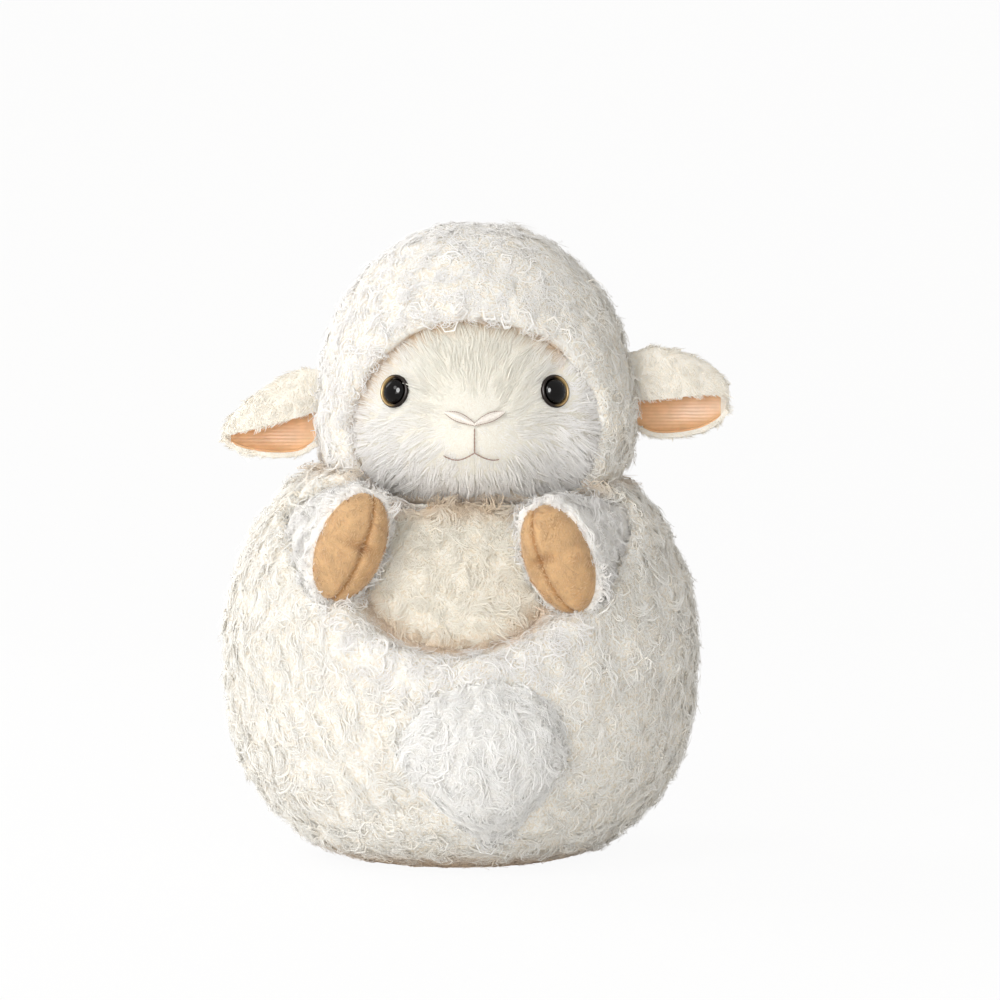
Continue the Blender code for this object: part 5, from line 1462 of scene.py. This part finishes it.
class SHEEP_OT_ears(bpy.types.Operator):
    """Make the ears: brushed plush folded over a satin lining"""

    bl_idname = "sheep.ears"
    bl_label = "Ears"

    def execute(self, context):
        shades = colours()
        cloth = cloth_material("Knitted ear backing", linear("#F6EDDD"), 0.9, 0.4, top=shades.ear)
        pile = pile_material("Brushed polyester ear pile", shades.ear, linear("#F5EBD9"))
        satin = satin_material("Peach satin lining", shades.lining)
        for side, word in SIDES.items():
            root = EAR_ROOTS[side]
            bends = ("head", root - Vector((side * 1 * MM, 0, 0)), root + Vector((side * 10 * MM, 0, 0)))

            def shell(u, v, side=side):
                turn = self.fold_turn(side, u, 1 - v if side > 0 else v)
                return ear_point(side, 0.97 * u, turn, 0.3 * MM)

            mesh = grid_pad(f"ear_plush_{word}", shell, 1.9 * MM, 30, 60, rim=True)
            points = places(mesh)
            front = points[:, 1] < EAR_ROOTS[side].y
            comb = np.tile((side * 1.0, 0.0, -0.3), (len(points), 1))
            comb[front] = (side * 0.5, 0.0, -0.9)
            guide(mesh, comb, pile=1, pile_length=1)
            ear = new_piece(f"ear_plush_{word}", mesh)
            grow_pile(
                ear, cloth, pile, lock_spacing=2.6 * MM, strand_density=1250000.0, length=sizes().ear_pile_length,
                thickness=0.36 * MM, rise=0.5, lean=0.6, curl_radius=0.4 * MM, turns=0.4, gather=0.3, mess=0.7,
                sink=0.4 * MM, points=3, seed=sizes().seed + 40 + side,
            )
            settle(ear, f"ear_{word}", "ear_plush", f"ear_outer_{word}", fill=0.2, bends=bends)

            def lining(u, v, side=side):
                share = 0.055 + 0.91 * (1 - v if side > 0 else v)
                turn = self.fold_turn(side, u, share)
                return ear_point(side, 0.05 + 0.85 * u, turn, 2.35 * MM)

            mesh = grid_pad(f"ear_satin_{word}", lining, 0.7 * MM, 26, 48)
            mesh.attributes.remove(mesh.attributes["grows"])
            piece = new_piece(f"ear_satin_{word}", mesh, satin)
            settle(piece, f"ear_{word}", "ear_lining", f"ear_lining_{word}", fill=0.1, bends=bends)
        return {"FINISHED"}

    def fold_turn(self, side, along_share, sweep_share):
        """The turn about the ear's length; the fold's edge rises towards the tip of the left ear."""
        lift = math.radians(24 * along_share if side == LEFT else 10) * sweep_share
        return EAR_SWEEP_START + (EAR_SWEEP_END - EAR_SWEEP_START) * sweep_share - lift


def hoof_frame(side):
    lean = Matrix.Rotation(-side * HOOF_LEAN, 4, "Y")
    turn = Matrix.Rotation(-side * HOOF_TURN, 4, "Z")
    return Matrix.Translation(HOOF_CENTRES[side]) @ lean @ turn


class SHEEP_OT_arms(bpy.types.Operator):
    """Make the fluffy sleeves and the two-toed velour hooves"""

    bl_idname = "sheep.arms"
    bl_label = "Arms and hooves"

    def execute(self, context):
        shades = colours()
        cloth = cloth_material("Knitted sleeve backing", linear("#F5F2EC"), 2.0, 0.5, top=shades.tail)
        pile = pile_material("Fluffy polyester sleeve pile", linear("#FCFBF8"), linear("#F3EEE4"))
        velour = velour_material("Warp-knit hoof velour", shades.hoof)
        nap = pile_material("Velour nap", linear("#E2C196"), linear("#BE9058"), 0.85, 0.5)
        for side, word in SIDES.items():
            body = f"arm_{word}"
            outer = hoof_frame(side)
            inner = outer.inverted()
            mass = soft_mass(f"sleeve_{word}", [f"arm_sleeve_{word}", f"arm_stuffing_{word}"], 1.6 * MM, 4)
            points, outward = places(mass), normals(mass)
            points += outward * (-0.5 * MM + 0.5 * MM * lumps(points, 7 * MM, 12))[:, None]
            local = np.array([inner @ Vector(p) for p in points])
            front = local[:, 1] < -0.6 * MM
            points[front] += np.array(outer.to_3x3() @ Vector((0, 1, 0))) * (0.6 * MM - local[front, 1:2])
            move_to(mass, points)
            cuff = np.hypot(local[:, 0] / (12.2 * MM), local[:, 2] / (21.0 * MM)) > 1
            hidden = ramp(local[:, 1], 30, 8)
            away = points - np.array(HOOF_CENTRES[side])
            comb = unit_rows(away * np.array((1, 0, 1))) * 0.5 + np.array((0.0, -0.9, 0.2))
            thick = ((local[:, 1] > -0.2 * MM) | cuff) * (1 - 0.7 * hidden)
            guide(mass, comb, pile=thick, pile_length=1, bright=1)
            piece = new_piece(f"sleeve_{word}", mass)
            grow_pile(
                piece, cloth, pile, lock_spacing=4.2 * MM, strand_density=700000.0,
                length=sizes().sleeve_pile_length, thickness=0.48 * MM, rise=0.66, lean=0.45, curl_radius=1.3 * MM,
                turns=0.9, gather=0.35, mess=1.1, sink=0.8 * MM, points=5, seed=sizes().seed + 60 + side,
            )
            settle(piece, body, "sleeve_plush", f"arm_sleeve_{word}", f"arm_stuffing_{word}", fill=0.8)
            hoof = new_piece(f"hoof_{word}", self.hoof_mesh(f"hoof_{word}", side))
            points = places(hoof.data)
            groove = np.empty(len(points), np.float32)
            hoof.data.attributes["groove"].data.foreach_get("value", groove)
            shown = np.array([(inner @ Vector(p)).y < -0.5 * MM for p in points])
            guide(hoof.data, (0.0, -0.3, 1.0), pile=(1 - 0.75 * groove) * shown, pile_length=1)
            grow_pile(
                hoof, velour, nap, lock_spacing=2.0 * MM, strand_density=1800000.0, length=sizes().hoof_nap_length,
                thickness=0.3 * MM, rise=0.75, lean=0.6, curl_radius=0.2 * MM, turns=0.3, gather=0.15, mess=1.0,
                sink=0.3 * MM, points=3, seed=sizes().seed + 80 + side,
            )
            settle(hoof, body, "hoof_plush", f"hoof_inner_{word}", f"hoof_outer_{word}", fill=0.9)
        return {"FINISHED"}

    def hoof_mesh(self, name, side):
        """A bean-shaped hoof drawn in along its seam, with a dimple where a stitch pulls it in."""
        matrix = hoof_frame(side)
        points, faces, grooves = [], [], []
        columns, rows = 112, 76
        seam_x = -4.2 * MM if side == LEFT else 2.6 * MM
        for r in range(rows + 1):
            latitude = math.pi * (r / rows - 0.5)
            for c in range(columns if 0 < r < rows else 1):
                azimuth = 2 * math.pi * c / columns
                x = 12.6 * MM * math.cos(latitude) * math.cos(azimuth)
                y = 11.6 * MM * math.cos(latitude) * math.sin(azimuth)
                z = 21.4 * MM * math.sin(latitude)
                across = x - seam_x * math.cos(latitude)
                seam = math.exp(-abs(across / (1.3 * MM)) ** 1.6)
                dimple = math.exp(-(((z - 2 * MM) / (1.8 * MM)) ** 2) - (across / (7.5 * MM)) ** 2)
                y *= 1 - 0.17 * seam - 0.24 * dimple
                z *= 1 - 0.04 * seam
                points.append(matrix @ Vector((x, min(y, 1.5 * MM), z)))
                grooves.append(min(1.0, math.exp(-abs(across / (0.9 * MM)) ** 2) + 0.5 * dimple))
        starts = [0] + [1 + columns * k for k in range(rows)]
        for r in range(rows):
            for c in range(columns):
                d = (c + 1) % columns
                if r == 0:
                    faces.append((0, starts[1] + d, starts[1] + c))
                elif r == rows - 1:
                    faces.append((starts[r] + c, starts[r] + d, len(points) - 1))
                else:
                    faces.append((starts[r] + c, starts[r] + d, starts[r + 1] + d, starts[r + 1] + c))
        mesh = mesh_from(name, points, faces)
        face_outwards(mesh)
        set_numbers(mesh, "groove", grooves)
        return mesh


class SHEEP_OT_stage(bpy.types.Operator):
    """Set the floor, the backdrop, the lamps and the camera"""

    bl_idname = "sheep.stage"
    bl_label = "Stage"

    def execute(self, context):
        scene = context.scene
        light = scene.sheep_light
        rows, reach, bend = 40, 6.0, 0.9
        profile = []
        for share in (r / rows for r in range(rows + 1)):
            angle = math.pi / 2 * (share - 0.5) * 2
            if share < 0.5:
                profile.append((-reach + 14.0 * share, 0.0))
            else:
                profile.append((1.0 + bend * math.sin(angle), bend * (1 - math.cos(angle))))
        profile.append((1.9, 4.0))
        points = [(x, y, z) for y, z in profile for x in (-reach, reach)]
        faces = [(a, a + 1, a + 3, a + 2) for a in range(0, 2 * rows + 2, 2)]
        floor = new_piece("studio_floor", mesh_from("studio_floor", points, faces), self.floor_material())
        self.lamp("key_lamp", (-0.85, -1.15, 1.0), 0.6, light.key, (1.0, 0.995, 0.985))
        self.lamp("fill_lamp", (-0.35, -1.35, 0.03), 0.8, light.fill, (1.0, 0.985, 0.96))
        mirrored = self.lamp("catchlight_lamp", (-0.22, -1.25, 0.52), 0.7, light.catchlight, (1.0, 1.0, 1.0))
        mirrored.visible_diffuse = False  # only the eyes' polish shows it, and no light falls on the wool
        self.lamp("rim_lamp", (-1.0, 0.5, 0.95), 0.8, light.rim, (1.0, 1.0, 1.0))
        world = bpy.data.worlds.new("Even studio light")
        world.use_nodes = True
        world.node_tree.nodes.clear()
        add = functools.partial(add_node, world.node_tree, output=0)
        room = add("ShaderNodeBackground", {"Color": (1.0, 0.98, 0.95, 1.0), "Strength": light.world})
        white = add("ShaderNodeBackground", {"Color": (1.0, 1.0, 1.0, 1.0), "Strength": 1.0})
        mix = add("ShaderNodeMixShader", (self.seen_straight(add), room, white))
        add("ShaderNodeOutputWorld", {"Surface": mix}, output=None)
        scene.world = world
        scene.view_settings.view_transform = "Standard"
        self.camera(scene)
        return {"FINISHED"}

    def seen_straight(self, add):
        """One where the camera, a mirror or glass looks straight at the background, and zero where light falls."""
        path = add("ShaderNodeLightPath", output=None).outputs
        straight = path["Is Camera Ray"]
        for ray in ("Is Glossy Ray", "Is Transmission Ray"):
            straight = add(MATHS, (straight, path[ray]), operation="MAXIMUM")
        return straight

    def floor_material(self):
        """Seamless paper: matt and pale, seen by the camera as nearly white, with the sheep's shadow kept."""
        material, add = new_material("Seamless paper")
        place = add("ShaderNodeTexCoord", output="Object")
        grain = add("ShaderNodeTexNoise", {"Vector": place, "Scale": 900.0})
        bump = add("ShaderNodeBump", {"Height": grain, "Strength": 0.05, "Distance": 0.2 * MM})
        colour = tuple(colours().floor)
        paper = add("ShaderNodeBsdfPrincipled", {"Base Color": colour, "Roughness": 0.9, "Normal": bump})
        white = add("ShaderNodeEmission", {"Color": (1.0, 1.0, 1.0, 1.0), "Strength": 1.0})
        share = add(MATHS, (self.seen_straight(add), 0.94), operation="MULTIPLY")
        return finish_material(material, add("ShaderNodeMixShader", (share, paper, white)))

    def lamp(self, name, place, size, power, colour):
        data = bpy.data.lights.new(name, "AREA")
        data.shape = "DISK"
        data.size = size
        data.energy = power
        data.color = colour
        lamp = bpy.data.objects.new(name, data)
        lamp.location = place
        aim = Vector((0, 0, 0.13)) - Vector(place)
        lamp.rotation_euler = aim.to_track_quat("-Z", "Y").to_euler()
        bpy.context.scene.collection.objects.link(lamp)
        return lamp

    def camera(self, scene):
        data = bpy.data.cameras.new("camera")
        distance, elevation, frame_width = 1.15, math.radians(2), 0.400
        data.sensor_width = 36
        data.lens = data.sensor_width * distance / frame_width
        camera = bpy.data.objects.new("camera", data)
        target = Vector((0.0156, 0, 0.1410))
        camera.location = target + distance * Vector((0, -math.cos(elevation), math.sin(elevation)))
        camera.rotation_euler = (target - camera.location).to_track_quat("-Z", "Y").to_euler()
        scene.collection.objects.link(camera)
        scene.camera = camera


class SHEEP_PT_panel(bpy.types.Panel):
    """Sizes, colours and the steps that build the sheep"""

    bl_idname = "SHEEP_PT_panel"
    bl_label = "Plush Sheep"
    bl_space_type = "VIEW_3D"
    bl_region_type = "UI"
    bl_category = "Plush Sheep"

    def draw(self, context):
        layout = self.layout
        for group in (context.scene.sheep_sizes, context.scene.sheep_colours, context.scene.sheep_light):
            box = layout.box()
            for name in group.__annotations__:
                box.prop(group, name)
        for operator in OPERATORS:
            layout.operator(operator.bl_idname)


OPERATORS = (
    SHEEP_OT_stage,
    SHEEP_OT_body_wool,
    SHEEP_OT_belly_wool,
    SHEEP_OT_base,
    SHEEP_OT_tail,
    SHEEP_OT_hood,
    SHEEP_OT_face,
    SHEEP_OT_eyes,
    SHEEP_OT_nose_and_mouth,
    SHEEP_OT_ears,
    SHEEP_OT_arms,
)
GROUPS = {"sheep_sizes": SheepSizes, "sheep_colours": SheepColours, "sheep_light": SheepLight}


def register():
    for group in GROUPS.values():
        bpy.utils.register_class(group)
    for operator in OPERATORS:
        bpy.utils.register_class(operator)
    bpy.utils.register_class(SHEEP_PT_panel)
    for name, group in GROUPS.items():
        setattr(bpy.types.Scene, name, PointerProperty(type=group))


def unregister():
    for name in GROUPS:
        delattr(bpy.types.Scene, name)
    bpy.utils.unregister_class(SHEEP_PT_panel)
    for kind in reversed(OPERATORS + tuple(GROUPS.values())):
        bpy.utils.unregister_class(kind)


def main():
    register()
    bpy.ops.sheep.stage()
    bpy.ops.sheep.body_wool()
    bpy.ops.sheep.belly_wool()
    bpy.ops.sheep.base()
    bpy.ops.sheep.tail()
    bpy.ops.sheep.hood()
    bpy.ops.sheep.face()
    bpy.ops.sheep.eyes()
    bpy.ops.sheep.nose_and_mouth()
    bpy.ops.sheep.ears()
    bpy.ops.sheep.arms()


if __name__ == "__main__":
    main()
